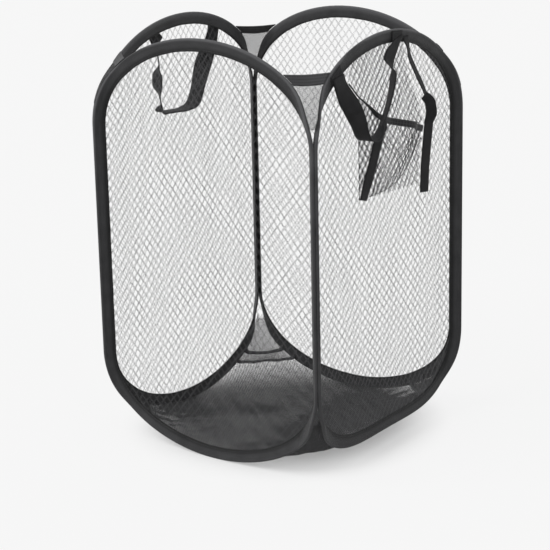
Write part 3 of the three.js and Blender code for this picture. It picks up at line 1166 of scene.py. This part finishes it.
@dataclass
class TopCorner:
    """Net gusset and taut band between two upper arches."""

    corner: Corner
    finishes: Finishes
    foot_span: float = 0.012
    band_span: float = 0.059
    band_height: float = 0.012
    band_thickness: float = 0.0016
    band_cloth: float = 0.0011
    band_cells: tuple[int, int] = (28, 8)
    band_sag: float = 0.0014
    band_roll: float = 0.0005
    band_ripple: Ripple = Ripple((5, 0.4), 0.0004, 2.0)
    net_thickness: float = 0.0006
    net_lap: float = 0.002
    row_steps: int = 60
    knit: Knit = Knit(spacing=0.00120, radius=0.00022, slope=1.1, step=0.012)

    def beside(self, angle: float, thickness: float) -> Vector:
        """Place on the outer edge of the first casing."""
        return SHAPE.station(angle, True).at(SHAPE.casing_width + SHAPE.gap + thickness / 2, 0)

    @staticmethod
    def opposite(place: Vector) -> Vector:
        """The matching place on the other casing."""
        return Vector((-place.y, -place.x, place.z))

    def span(self, angle: float, thickness: float) -> float:
        """Distance across the corner."""
        place = self.beside(angle, thickness)
        return (place - self.opposite(place)).length

    @staticmethod
    def where(test: Callable[[float], bool]) -> float:
        """Finds the first angle up the rounded end that passes a test.

        Args:
            test: tells whether an angle passes.

        Returns:
            The angle.
        """
        low, high = 0.0, math.pi / 2
        for _ in range(ANGLE_HALVINGS):
            middle = (low + high) / 2
            low, high = (low, middle) if test(middle) else (middle, high)
        return high

    def build(self) -> None:
        """Builds the band and the gusset."""
        top = self.where(lambda angle: self.span(angle, self.band_thickness) > self.band_span)
        foot_height = self.beside(top, self.band_thickness).z - self.band_height
        foot = self.where(lambda angle: self.beside(angle, self.band_thickness).z > foot_height)
        self.band(foot, top)
        start = self.where(lambda angle: self.span(angle, self.net_thickness) > self.foot_span)
        end = self.where(lambda angle: self.beside(angle, self.net_thickness).z > foot_height + self.net_lap)
        self.gusset(start, end)
        log.info("upper corner %s", self.corner.label)

    def band(self, foot: float, top: float) -> None:
        """Hemmed band, a little slack in its middle.

        Args:
            foot: angle of its lower edge up the arch.
            top: angle of its upper edge.
        """
        columns, rows = self.band_cells

        def place(column: int, row: int) -> Vector:
            """Lays a point of the band.

            Args:
                column: its column, across the corner.
                row: its row, upwards.

            Returns:
                Its place.
            """
            left = self.beside(mix(foot, top, row / rows), self.band_thickness)
            share = column / columns
            sag = math.sin(math.pi * share)
            roll = 2 * row / rows - 1
            out = self.band_roll * (1 - roll * roll) + self.band_ripple.at(share, row) * sag
            point = left.lerp(self.opposite(left), share)
            point.z -= self.band_sag * sag
            return point + Vector((1, -1, 0)).normalized() * out

        size = (self.band_span, self.band_height)
        piece = cloth(f"{self.corner.label}_band_cloth", self.band_cells, place, size, self.band_cloth,
                      self.finishes.band, self.corner.turn)
        self.corner.casings
        join_corner(piece, Slot.CASING, self.corner, f"{self.corner.label}_top_band")

    def gusset(self, start: float, end: float) -> None:
        """Net between the arches, below the band.

        Args:
            start: angle of its foot up the arch.
            end: angle of its top.
        """
        angles = [mix(start, end, step / self.row_steps) for step in range(self.row_steps + 1)]
        rows = [self.beside(angle, self.net_thickness) for angle in angles]

        def row_at(z: float) -> tuple[Vector, Vector]:
            """Finds where the net meets the casings.

            Args:
                z: a height.

            Returns:
                The places on the two casings.
            """
            left = rows[-1]
            for a, b in zip(rows, rows[1:]):
                if z <= b.z:
                    left = a.lerp(b, max(0.0, (z - a.z) / max(b.z - a.z, LEAST)))
                    break
            return left, self.opposite(left)

        def inside(x: float, z: float) -> bool:
            """Tells whether a place is on the gusset.

            Args:
                x: flat place across the corner.
                z: its height.

            Returns:
                True if it is.
            """
            left, right = row_at(z)
            return rows[0].z <= z <= rows[-1].z and abs(x) <= (left - right).length / 2

        def lift(x: float, z: float) -> Vector:
            """Real place of a flat one."""
            left, right = row_at(z)
            return left.lerp(right, 0.5) + (right - left).normalized() * x

        half = self.band_span / 2
        patch = Patch((-half, rows[0].z), (half, rows[-1].z), inside, lift)
        piece = net_of(f"{self.corner.label}_gusset_yarns", self.knit, patch,
                       self.corner.casings,
                       self.finishes.dense_net, self.corner.turn)
        join_corner(piece, Slot.NET, self.corner, f"{self.corner.label}_top_gusset")


@dataclass
class Floor:
    """Net floor that turns up into the lower corners, and the gussets there."""

    finishes: Finishes
    clearance: float = 0.0006
    low: float = 0.003
    tuck: float = 0.004
    power: float = 3.0
    edge_power: float = 4
    slack_lift: float = 0.0008
    slack: Ripple = Ripple((16, 16), 0.0018, 1.0)
    folds: Ripple = Ripple((34, 8), 0.0025, 5.0)
    crumple: Ripple = Ripple((42, 42), 0.012, 9.0)
    folded_place: float = 0.0035
    folded_share: float = 0.01
    gusset_side: float = 0.064
    gusset_foot: float = 0.006
    gusset_length: float = 1.5
    seam_width: float = 0.004
    seam_lift: float = 0.0006
    seam_cloth: float = 0.0008
    seam_fold: float = 2.5
    seam_cells: tuple[int, int] = (24, 2)
    seam_sides: tuple[float, ...] = (0.064, 0.044)
    knit: Knit = Knit(spacing=0.00240, radius=0.00040, slope=1.0, step=0.009)
    gusset_knit: Knit = Knit(spacing=0.00105, radius=0.00030, slope=1.0, step=0.007)

    @property
    def half(self) -> float:
        """Half the floor's width."""
        return SHAPE.plane - SHAPE.nose / 2 - SHAPE.gap - self.clearance

    @property
    def rise(self) -> float:
        """How far the floor rises where two casings meet."""
        return SHAPE.bottom_centre - self.tuck

    @property
    def cut(self) -> float:
        """How far out the floor ends on the diagonals, where the gussets start."""
        return 2 * self.half - self.gusset_side

    def edge(self, share: float) -> float:
        """Height of the floor along a casing, at a share of the way to the corner."""
        return self.rise * (1 - math.sqrt(1 - share**2))

    def place(self, x: float, y: float) -> Vector:
        """Lays a place of the floor net.

        Args:
            x: flat place across the hamper.
            y: flat place the other way.

        Returns:
            The real place.
        """
        out_x, out_y = (min(abs(value) / self.half, 1.0) for value in (x, y))
        across_x, across_y = out_x**self.power, out_y**self.power
        lift = self.edge(out_x) * across_y + self.edge(out_y) * across_x - self.rise * across_x * across_y
        slack = self.slack.at(x, y) + abs(self.folds.at(x + y, x - y)) + self.slack_lift
        slack += abs(self.crumple.at(x, y)) * (out_x * out_y) ** 2
        return Vector((x, y, self.low + lift + slack * (1 - max(out_x, out_y) ** self.edge_power)))

    def build(self) -> None:
        """Builds the floor and its four corners."""
        half = self.half
        patch = Patch((-half, -half), (half, half),
                      lambda x, y: max(abs(x), abs(y)) <= half and abs(x) + abs(y) <= self.cut, self.place)
        piece = net_of("floor_yarns", self.knit, patch,
                       [side.casing for side in Side], self.finishes.dense_net, Side.FRONT.turn)
        put(piece, Slot.FLOOR, "front", "floor_net")
        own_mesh(piece)
        log.info("floor")
        for corner in Corner:
            self.gusset(corner)
            for mark, side in enumerate(self.seam_sides):
                self.seam(corner, mark, side)
            log.info("lower corner %s", corner.label)

    def gusset(self, corner: Corner) -> None:
        """Net that closes a lower corner.

        Args:
            corner: the corner.
        """
        half, side = self.half, self.gusset_side
        high = 2 * half - self.gusset_foot
        patch = Patch((half - side, -half), (half, side - half),
                      lambda x, y: max(x, -y) <= half and self.cut <= x - y <= high, self.place)
        piece = net_of(f"{corner.label}_lower_gusset_yarns", self.gusset_knit, patch,
                       ["floor_yarns"],
                       self.finishes.dense_net, corner.turn)
        join_corner(piece, Slot.FLOOR, corner, f"{corner.label}_bottom_gusset")

    def seam(self, corner: Corner, mark: int, side: float) -> None:
        """Sewn edge across a lower corner.

        Args:
            corner: the corner.
            mark: its number there.
            side: how far from the corner it reaches along each panel.
        """
        columns, rows = self.seam_cells

        def place(column: int, row: int) -> Vector:
            """Lays a point of the seam.

            Args:
                column: its column, across the corner.
                row: its row, towards the corner.

            Returns:
                Its place.
            """
            along = mix(-side / 2, side / 2, column / columns)
            middle = self.half - side / 2 + (row / rows - 0.5) * self.seam_width / math.sqrt(2)
            return self.place(middle + along, -middle + along) + Vector((0, 0, self.seam_lift))

        length = length_of([place(column, 1) for column in range(columns + 1)])
        seam = cloth(f"{corner.label}_lower_seam_{mark}", self.seam_cells, place, (length, self.seam_width),
                     self.seam_cloth, self.finishes.band, corner.turn)
        join_corner(seam, Slot.CASING, corner)


# Handles


@dataclass
class Handle:
    """Webbing handle that hangs as a twisted loop from two sewn ends.

    The loop's route is in shares of its span and of its drop. It twists in the same way down its first
    leg on every handle, and up its second leg by the degrees in rising, by the share of its drop.
    """

    side: Side
    finishes: Finishes
    middle: float
    drop: float
    route: Table
    rising: Table
    width: float = 0.025
    thickness: float = 0.0016
    trim: float = 0.0002
    span: float = 0.136
    tab: tuple[float, float] = (0.001, 0.015)
    pivot: float = 0.006
    stand_off: float = 0.014
    square: float = 0.25
    sinking_turn: tuple[float, float] = (0.06, 0.8)
    rising_start: tuple[float, float] = (0.4, 0.5)
    cup: float = 0.0004
    ripple: Ripple = Ripple((0.09, 1.5), 0.0005, 8.0)
    loop_cells: tuple[int, int] = (150, 6)
    end_cells: tuple[int, int] = (12, 10)
    stitch_inset: float = 0.0022
    stitch_pitch: float = 0.003
    stitch_share: float = 0.36
    stitch_arch: float = 0.0001
    stitch_radius: float = 0.0002

    @property
    def tab_out(self) -> float:
        """How far out the middle of a sewn end lies."""
        return SHAPE.nose / 2 + SHAPE.gap + self.thickness / 2

    @property
    def loop_out(self) -> float:
        """How far out the hanging loop starts."""
        return self.tab_out + self.thickness + SHAPE.gap

    def build(self) -> None:
        """Builds the loop and its two sewn ends."""
        self.loop()
        for mark, x in (("a", self.middle - self.span / 2), ("b", self.middle + self.span / 2)):
            self.sewn_end(mark, x)
            self.box_stitches(mark, x)
        log.info("handle %s", self.side.body)

    def frames(self, start: Vector, end: Vector, curve: Curve) -> list[tuple[Vector, Vector, Vector]]:
        """Works out how the webbing lies along its loop.

        Args:
            start: where the loop starts on the fold line.
            end: where it ends there.
            curve: its route.

        Returns:
            Its middle, the direction of its width and the direction that it faces, step by step.
        """
        made = []
        fold = (end - start).normalized()
        outwards = Vector((0, -1, 0))
        for step in range(self.loop_cells[0] + 1):
            share = step / self.loop_cells[0]
            place = curve.at(share)
            level = mix(start.z, end.z, (place.x - start.x) / (end.x - start.x))
            sunk = (level - place.z) / self.drop
            first, last = self.sinking_turn
            sinking = math.pi / 2 * smooth((sunk - first) / (last - first))
            first, last = self.rising_start
            rising = math.radians(eased(self.rising, sunk))
            turn = mix(sinking, rising, smooth((share - first) / (last - first)))
            tangent = curve.direction(share)
            square = outwards.cross(tangent).normalized()
            flat = fold * (1 if square.dot(fold) >= 0 else -1)
            flat = flat.lerp(square, smooth(sunk / self.square)).normalized()
            across = flat * math.cos(turn) + outwards * math.sin(turn)
            place = place + outwards * (self.loop_out + self.stand_off * math.sin(turn))
            made.append((place, across, tangent.cross(across).normalized()))
        return made

    def loop(self) -> None:
        """Hanging loop."""
        ends = [SHAPE.top_at(self.middle + x).at(self.pivot, 0) for x in (-self.span / 2, self.span / 2)]
        for end in ends:
            end.y = -SHAPE.plane
        curve = Curve([ends[0].lerp(ends[1], along) - Vector((0, 0, self.drop * down))
                       for along, down in self.route])
        frames = self.frames(*ends, curve)

        def place(column: int, row: int) -> Vector:
            """Lays a point of the webbing.

            Args:
                column: its step along the loop.
                row: its row across it.

            Returns:
                Its place.
            """
            at, side, face = frames[column]
            across = row / self.loop_cells[1] - 0.5
            cup = (4 * across * across - 1) * self.cup + self.ripple.at(column, across)
            return at + side * (across * (self.width - 2 * self.trim)) + face * cup

        name = f"{self.side.body}_handle"
        piece = cloth(f"{name}_webbing", self.loop_cells, place, (curve.length, self.width),
                      self.thickness - self.trim, self.finishes.webbing, self.side.turn)
        put(piece, Slot.WEBBING, name, name)

    def sewn_end(self, mark: str, x: float) -> None:
        """Flat end of the webbing on the casing.

        Args:
            mark: letter of the end.
            x: where it is along the panel.
        """
        at = SHAPE.top_at(x)
        low, high = (at.at(width, 0) for width in self.tab)

        def place(column: int, row: int) -> Vector:
            """Lays a point of the end.

            Args:
                column: its column, up the casing.
                row: its row, along it.

            Returns:
                Its place.
            """
            columns, rows = self.end_cells
            point = low.lerp(high, column / columns) + at.along * ((row / rows - 0.5) * self.width)
            point.y = -SHAPE.plane - self.tab_out
            return point

        length = self.tab[1] - self.tab[0]
        piece = cloth(f"{self.side.body}_handle_end_{mark}", self.end_cells, place, (length, self.width),
                      self.thickness, self.finishes.webbing, self.side.turn)
        put(piece, Slot.WEBBING, self.side.body, f"{self.side.body}_handle_tab_{mark}")
        self.side.casing

    def box_stitches(self, mark: str, x: float) -> None:
        """Box of stitches with a cross in it, over a sewn end.

        Args:
            mark: letter of the end.
            x: where it is along the panel.
        """
        at = SHAPE.top_at(x)
        low, high = (at.at(width, 0) for width in self.tab)
        near, far = self.stitch_inset, self.tab[1] - self.tab[0] - self.stitch_inset
        reach = at.along * (self.width / 2 - self.stitch_inset)
        up = (high - low).normalized()
        marks = ((near, -1), (near, 1), (far, 1), (far, -1))
        ring = [low + up * height + reach * way for height, way in marks]
        face = -SHAPE.plane - self.tab_out - self.thickness / 2
        lines: list[Line] = []
        for a, b in [*zip(ring, ring[1:] + ring[:1]), (ring[0], ring[2]), (ring[1], ring[3])]:
            count = max(2, round((b - a).length / self.stitch_pitch))
            for number in range(count):
                points = [a.lerp(b, (number + k * self.stitch_share) / count) for k in range(3)]
                for point, way in zip(points, (1, -1, 1)):
                    point.y = face + way * self.stitch_arch
                lines.append(points)
        piece = yarns(f"{self.side.body}_handle_stitches_{mark}", lines, self.stitch_radius,
                      self.finishes.stitch, self.side.turn)
        put(piece, Slot.WEBBING, self.side.body)


# Pocket


@dataclass
class Pocket:
    """Net pocket outside the right panel, with a hemmed mouth and two side tapes.

    Its outlines are in shares of its width and its height. The tapes' turns are in degrees off the
    panel, by the share of their length.
    """

    finishes: Finishes
    width: float = 0.150
    height: float = 0.190
    front_edge: float = -0.068
    drop: float = 0.021
    bulge: float = 0.018
    edge_radius: float = 0.0005
    edge_steps: int = 40
    net_thickness: float = 0.0006
    mouth_steps: int = 80
    hem_height: float = 0.009
    hem_tip: float = 0.002
    hem_thickness: float = 0.0012
    hem_cloth: float = 0.001
    hem_roll: float = 0.0004
    hem_mean: float = 0.8
    hem_lap: float = 0.002
    hem_cells: tuple[int, int] = (90, 6)
    hem_ripple: Ripple = Ripple((26, 1), 0.0003, 9.0)
    slack: Ripple = Ripple((30, 22), 0.0009, 6.0)
    least_slack: float = -0.0003
    tape_width: float = 0.015
    tape_thickness: float = 0.001
    tape_margin: float = 0.020
    tape_cells: tuple[int, int] = (80, 6)
    tape_ripple: Ripple = Ripple((7, 0.13), 0.0006, 12.0)
    arch_steps: int = 24
    front_limits: tuple[float, float] = (1.03, 0.75)
    mouth: Table = ((0, 0.71), (0.17, 0.62), (0.29, 0.55), (0.42, 0.5), (0.72, 0.43), (1.04, 0.35))
    hem_start: tuple[float, float] = (-0.15, 0.82)
    foot: Table = ((0, 0), (0.33, 0), (0.55, 0.02), (0.74, 0.09), (0.87, 0.18), (0.95, 0.26), (1.03, 0.28))
    front_tape: Table = ((0.39, 0.51), (0.29, 0.4), (0.19, 0.24), (0.08, 0.07), (0.05, -0.01))
    back_tape: Table = ((0.74, 1.04), (0.77, 0.91), (0.88, 0.78), (1.03, 0.62), (1.11, 0.47), (1.09, 0.32),
                        (1.05, 0.11), (1.03, -0.11))
    front_turns: Table = ((0, 0), (0.1, 14), (0.8, 12), (1, 0))
    back_turns: Table = ((0, 0), (0.06, -22), (0.4, -24), (0.47, 60), (0.53, 58), (0.6, 20), (1, 16))
    back_front: Table = ((-0.13, 0.85), (0, 0.71), (0, 0), (0.45, -0.02))
    back_back: Table = ((0.97, -0.04), (0.98, 0.11), (1.03, 0.3), (1.04, 0.43), (0.98, 0.54), (0.87, 0.69),
                        (0.76, 0.85), (0.73, 0.97))
    knit: OpenKnit = OpenKnit(width=0.0121, height=0.0147, radius=0.00028, joint_share=0.4,
                              wander=Ripple((38, 38), 0.0034, 21.0))

    @property
    def back_out(self) -> float:
        """How far out the back net lies."""
        return self.net_thickness + SHAPE.gap

    @property
    def front_out(self) -> float:
        """How far out the front net starts."""
        return self.back_out + self.net_thickness + SHAPE.gap

    @property
    def hem_out(self) -> float:
        """How much further out than the front net the hem's middle lies."""
        return (self.hem_thickness - self.net_thickness) / 2

    @property
    def tape_out(self) -> float:
        """How far out the tapes lie."""
        return self.front_out + self.hem_out + self.hem_thickness / 2 + SHAPE.gap + self.tape_thickness / 2

    @property
    def ends(self) -> tuple[float, float]:
        """Where the front net starts and ends along the panel."""
        return self.flat((0, 0)).x, self.flat(self.front_limits).x

    def flat(self, shares: tuple[float, float]) -> Vector:
        """Flat place in the panel of a share of the pocket's size."""
        bottom = SHAPE.height - self.drop - self.height
        return Vector((self.front_edge + shares[0] * self.width, 0, bottom + shares[1] * self.height))

    def flats(self, table: Table) -> Line:
        """Flat places of a table of shares."""
        return [self.flat(shares) for shares in table]

    @staticmethod
    def out(point: Vector, out: float) -> Vector:
        """A flat place brought out from the panel."""
        return Vector((point.x, -SHAPE.plane - out, point.z))

    def crossing(self, table: Table, z: float) -> float:
        """Finds where a tape passes a height.

        Args:
            table: the tape's places.
            z: the height.

        Returns:
            The place along the panel.
        """
        places = self.flats(table)
        if z >= places[0].z:
            return places[0].x
        for a, b in zip(places, places[1:]):
            if b.z < z:
                return mix(a.x, b.x, (a.z - z) / (a.z - b.z))
        return places[-1].x

    def front_at(self, x: float, z: float, rise: float) -> float:
        """Works out how far out the front net is.

        Args:
            x: a place along the panel.
            z: its height.
            rise: how far up the front net it is, from 0 to 1.

        Returns:
            The distance from the panel.
        """
        start = self.crossing(self.front_tape, z) + self.tape_margin
        end = self.crossing(self.back_tape, z) - self.tape_margin
        across = clamp((x - start) / (end - start))
        return self.front_out + self.bulge * math.sin(math.pi * across) ** 2 * rise

    def build(self) -> None:
        """Builds the pocket's pieces."""
        self.front_net()
        self.back_net()
        self.hem()
        self.tape("front", self.front_tape, self.front_turns)
        self.tape("back", self.back_tape, self.back_turns)
        self.bound_edge()
        log.info("pocket")

    @cached_property
    def foot_and_mouth(self) -> tuple[Line, Line]:
        """Lays out the lower and the upper edge of the front net.

        Returns:
            The places along its foot and along its mouth.
        """
        foot, mouth = (Curve(self.flats(table)) for table in (self.foot, self.mouth))
        shares = [step / self.mouth_steps for step in range(self.mouth_steps + 1)]
        lap = Vector((0, 0, self.hem_lap))
        return [foot.at(share) for share in shares], [mouth.at(share) - lap for share in shares]

    def limits(self, x: float) -> tuple[float, float]:
        """Heights of the foot and the mouth at a place along the panel.

        Args:
            x: the place.

        Returns:
            The two heights.
        """
        found = []
        for places in self.foot_and_mouth:
            height = places[-1].z
            for a, b in zip(places, places[1:]):
                if x <= b.x:
                    height = a.lerp(b, clamp((x - a.x) / max(b.x - a.x, LEAST))).z
                    break
            found.append(height)
        return found[0], found[1]

    def front_place(self, x: float, z: float) -> Vector:
        """Lays a place of the front net.

        Args:
            x: flat place along the panel.
            z: its height.

        Returns:
            The real place.
        """
        base, top = self.limits(x)
        rise = clamp((z - base) / max(top - base, LEAST))
        slack = max(self.slack.at(x, z) * rise, self.least_slack)
        return self.out(Vector((x, 0, z)), self.front_at(x, z, rise) + slack)

    def front_net(self) -> None:
        """Bulging front of the pocket."""
        low, high = self.ends
        bottom, top = self.flat((0, 0)).z, self.flat(self.front_limits).z

        def inside(x: float, z: float) -> bool:
            """Whether a flat place is on the front net."""
            base, mouth = self.limits(x)
            return low <= x <= high and base <= z <= mouth

        patch = Patch((low, bottom), (high, top), inside, self.front_place)
        piece = net_of("pocket_front_yarns", self.knit, patch,
                       ["pocket_hem_cloth"], self.finishes.dense_net, Side.RIGHT.turn)
        put(piece, Slot.NET, "right", "pocket_front_net")

    def bound_edge(self) -> None:
        """Overlocked edge down the front net's free side and along its foot."""
        low, high = self.ends
        shares = [step / self.edge_steps for step in range(self.edge_steps + 1)]
        foot, mouth = self.limits(low)
        side = [self.front_place(low, mix(mouth, foot, share)) for share in shares]
        along = [mix(low, high, share) for share in shares]
        bottom = [self.front_place(x, self.limits(x)[0]) for x in along]
        piece = yarns("pocket_bound_edge", [side, bottom], self.edge_radius, self.finishes.stitch,
                      Side.RIGHT.turn, capped=True)
        put(piece, Slot.NET, "right")

    def back_net(self) -> None:
        """Back of the pocket, which lies on the panel and reaches the arch."""
        start, end = self.flat(self.back_back[-1]).x, self.flat(self.back_front[0]).x
        arch = [mix(start, end, step / self.arch_steps) for step in range(self.arch_steps + 1)]
        outline = [*self.flats(self.back_back), *(SHAPE.top_at(x).place for x in arch),
                   *self.flats(self.back_front)]

        def inside(x: float, z: float) -> bool:
            """Tells whether a place is within the outline.

            Args:
                x: place along the panel.
                z: its height.

            Returns:
                True if it is.
            """
            held = False
            for a, b in zip(outline, outline[1:] + outline[:1]):
                if (a.z > z) != (b.z > z) and x < mix(a.x, b.x, (z - a.z) / (b.z - a.z)):
                    held = not held
            return held

        low, high = ((limit(p.x for p in outline), limit(p.z for p in outline)) for limit in (min, max))
        patch = Patch(low, high, inside, lambda x, z: self.out(Vector((x, 0, z)), self.back_out))
        piece = net_of("pocket_back_yarns", self.knit, patch, ["right_net_yarns"],
                       self.finishes.dense_net, Side.RIGHT.turn)
        put(piece, Slot.NET, "right", "pocket_back_net")

    def hem(self) -> None:
        """Folded hem along the mouth, thin where it starts."""
        mouth = Curve(self.flats(self.mouth))
        lead = self.flat(self.hem_start)
        first = mouth.at(0)
        length = mouth.length + (first - lead).length
        lead_share = (first - lead).length / length
        columns, rows = self.hem_cells

        def place(column: int, row: int) -> Vector:
            """Lays a point of the hem.

            Args:
                column: its step along the mouth.
                row: its row across the hem.

            Returns:
                Its place.
            """
            share = column / columns
            if share < lead_share:
                point = lead.lerp(first, share / lead_share)
                tangent, height = (first - lead).normalized(), self.hem_tip
            else:
                along = (share - lead_share) / (1 - lead_share)
                point, tangent = mouth.at(along), mouth.direction(along)
                height = mix(self.hem_tip, self.hem_height, smooth(2 * along))
            across = row / rows - 0.5
            down = Vector((tangent.z, 0, -tangent.x)) * (across * height)
            roll = self.hem_roll * (1 - (2 * across) ** 2) + self.hem_ripple.at(share, across)
            return self.out(point + down, self.front_at(point.x, point.z, 1.0) + self.hem_out + roll)

        piece = cloth("pocket_hem_cloth", self.hem_cells, place, (length, self.hem_height), self.hem_cloth,
                      self.finishes.band, Side.RIGHT.turn)
        put(piece, Slot.CASING, "right", "pocket_hem")

    def tape(self, mark: str, table: Table, turns: Table) -> None:
        """Side tape, turned off the panel along its length.

        Args:
            mark: which side it binds.
            table: its places.
            turns: its turns.
        """
        curve = Curve(self.flats(table))
        columns, rows = self.tape_cells

        def place(column: int, row: int) -> Vector:
            """Lays a point of the tape.

            Args:
                column: its step along the tape.
                row: its row across it.

            Returns:
                Its place.
            """
            share = column / columns
            tangent = curve.direction(share)
            across = (row / rows - 0.5) * self.tape_width
            turn = math.radians(eased(turns, share))
            down = Vector((tangent.z, 0, -tangent.x)) * (across * math.cos(turn))
            lift = abs(math.sin(turn)) * self.tape_width / 2 - math.sin(turn) * across
            wave = abs(self.tape_ripple.at(share, row))
            return self.out(curve.at(share) + down, self.tape_out + lift + wave)

        piece = cloth(f"pocket_{mark}_webbing", self.tape_cells, place, (curve.length, self.tape_width),
                      self.tape_thickness, self.finishes.webbing, Side.RIGHT.turn)
        put(piece, Slot.WEBBING, "right", f"pocket_{mark}_tape")


# Studio


@dataclass
class Studio:
    """Plain pale studio and the camera at the photograph's angle."""

    target: tuple[float, float, float] = (0.0, 0.0, 0.264)
    azimuth: float = 35.88
    elevation: float = 15.32
    roll: float = -1.2
    distance: float = 2.4625
    focal_pixels: float = 1773.3
    image: float = 550.0
    target_pixel: tuple[float, float] = (283.1, 241.1)
    sensor: float = 36
    far: float = 100
    floor_half: float = 12
    pale: float = 0.93
    ground: float = 0.6
    glow_share: float = 0.92
    shade_reach: tuple[float, float] = (0.12, 0.24)
    dome: float = 0.9
    key: float = 2.4
    key_angle: float = 40
    key_aim: tuple[float, float, float] = (0.5, 1.0, -1.3)

    def build(self) -> None:
        """Builds the floor, the lights and the camera."""
        self.floor()
        self.lights()
        self.camera()

    def floor(self) -> None:
        """Large pale floor that keeps the hamper's soft shadow."""
        bm = bmesh.new()
        bmesh.ops.create_grid(bm, x_segments=1, y_segments=1, size=self.floor_half)
        material = bpy.data.materials.new("Studio floor")
        nodes = Nodes(material)
        away = nodes.take("Value", "VectorMath", nodes.take("Object", "TexCoord"), operation="LENGTH")
        fade = nodes.ramp(away, self.shade_reach, (0.0, self.glow_share))
        share = nodes.value("MULTIPLY", nodes.take("Is Camera Ray", "LightPath"), fade)
        diffuse = nodes.take("BSDF", "BsdfDiffuse", Color=(*[self.ground] * 3, 1))
        glow = nodes.take("Emission", "Emission", Color=(*[self.pale] * 3, 1))
        nodes.add("OutputMaterial", nodes.take("Shader", "MixShader", share, diffuse, glow))
        finished("Studio floor", mesh_of(bm, "Studio floor"), material)

    def lights(self) -> None:
        """Soft key lamp and an even pale surround."""
        world = bpy.data.worlds.new("Studio")
        bpy.context.scene.world = world
        nodes = Nodes(world)
        path = nodes.add("LightPath").outputs
        mirror = nodes.value("MAXIMUM", path["Is Glossy Ray"], path["Is Transmission Ray"])
        seen = nodes.value("MAXIMUM", path["Is Camera Ray"], mirror)
        soft = nodes.take("Background", "Background", (1, 1, 1, 1), self.dome)
        pale = nodes.take("Background", "Background", (*[self.pale] * 3, 1))
        nodes.add("OutputWorld", nodes.take("Shader", "MixShader", seen, soft, pale))
        lamp = bpy.data.lights.new("Key", "SUN")
        lamp.energy = self.key
        lamp.angle = math.radians(self.key_angle)
        holder = bpy.data.objects.new("Key", lamp)
        bpy.context.scene.collection.objects.link(holder)
        holder.matrix_world = Vector(self.key_aim).to_track_quat("-Z", "Y").to_matrix().to_4x4()

    def camera(self) -> None:
        """Camera with the photograph's view."""
        a, e, r = (math.radians(angle) for angle in (self.azimuth, self.elevation, self.roll))
        back = Vector((math.sin(a) * math.cos(e), -math.cos(a) * math.cos(e), math.sin(e)))
        right = Vector((math.cos(a), math.sin(a), 0))
        up = back.cross(right)
        right, up = right * math.cos(r) + up * math.sin(r), up * math.cos(r) - right * math.sin(r)
        data = bpy.data.cameras.new("Camera")
        data.sensor_width = self.sensor
        data.lens = self.focal_pixels / self.image * self.sensor
        data.shift_x = 0.5 - self.target_pixel[0] / self.image
        data.shift_y = self.target_pixel[1] / self.image - 0.5
        data.clip_end = self.far
        camera = bpy.data.objects.new("Camera", data)
        bpy.context.scene.collection.objects.link(camera)
        place = Matrix.Translation(Vector(self.target) + back * self.distance)
        camera.matrix_world = place @ Matrix((right, up, back)).transposed().to_4x4()
        bpy.context.scene.camera = camera
        bpy.context.scene.view_settings.view_transform = "Standard"


LEFT_ROUTE = ((0, 0), (0.05, 0.3), (0.13, 0.66), (0.26, 0.95), (0.4, 1), (0.6, 1), (0.77, 0.98),
              (0.82, 0.84), (0.82, 0.5), (0.86, 0.22), (1, 0))
LEFT_RISING = ((0, 0), (0.1, 0), (0.28, 41), (0.44, 40), (0.56, 72), (0.66, 72), (0.8, 44), (0.94, 40),
               (1, 90))
RIGHT_ROUTE = ((0, 0), (0.07, 0.3), (0.16, 0.65), (0.27, 0.93), (0.4, 1), (0.52, 0.98), (0.64, 0.84),
               (0.75, 0.6), (0.8, 0.35), (0.86, 0.15), (1, 0))
RIGHT_RISING = ((0, 0), (0.2, 0), (0.38, 50), (0.6, 47), (0.93, 46), (1, 64))


def main() -> None:
    """Builds the hamper and its studio."""
    logging.basicConfig(level=logging.INFO, format="%(name)s: %(message)s")
    Studio().build()
    finishes = Finishes()
    for side in Side:
        Panel(side, finishes).build()
    for corner in Corner:
        TopCorner(corner, finishes).build()
    Floor(finishes).build()
    Handle(Side.LEFT, finishes, middle=-0.012, drop=0.120, route=LEFT_ROUTE, rising=LEFT_RISING).build()
    Handle(Side.RIGHT, finishes, middle=-0.046, drop=0.100, route=RIGHT_ROUTE, rising=RIGHT_RISING).build()
    Pocket(finishes).build()


if __name__ == "__main__":
    main()
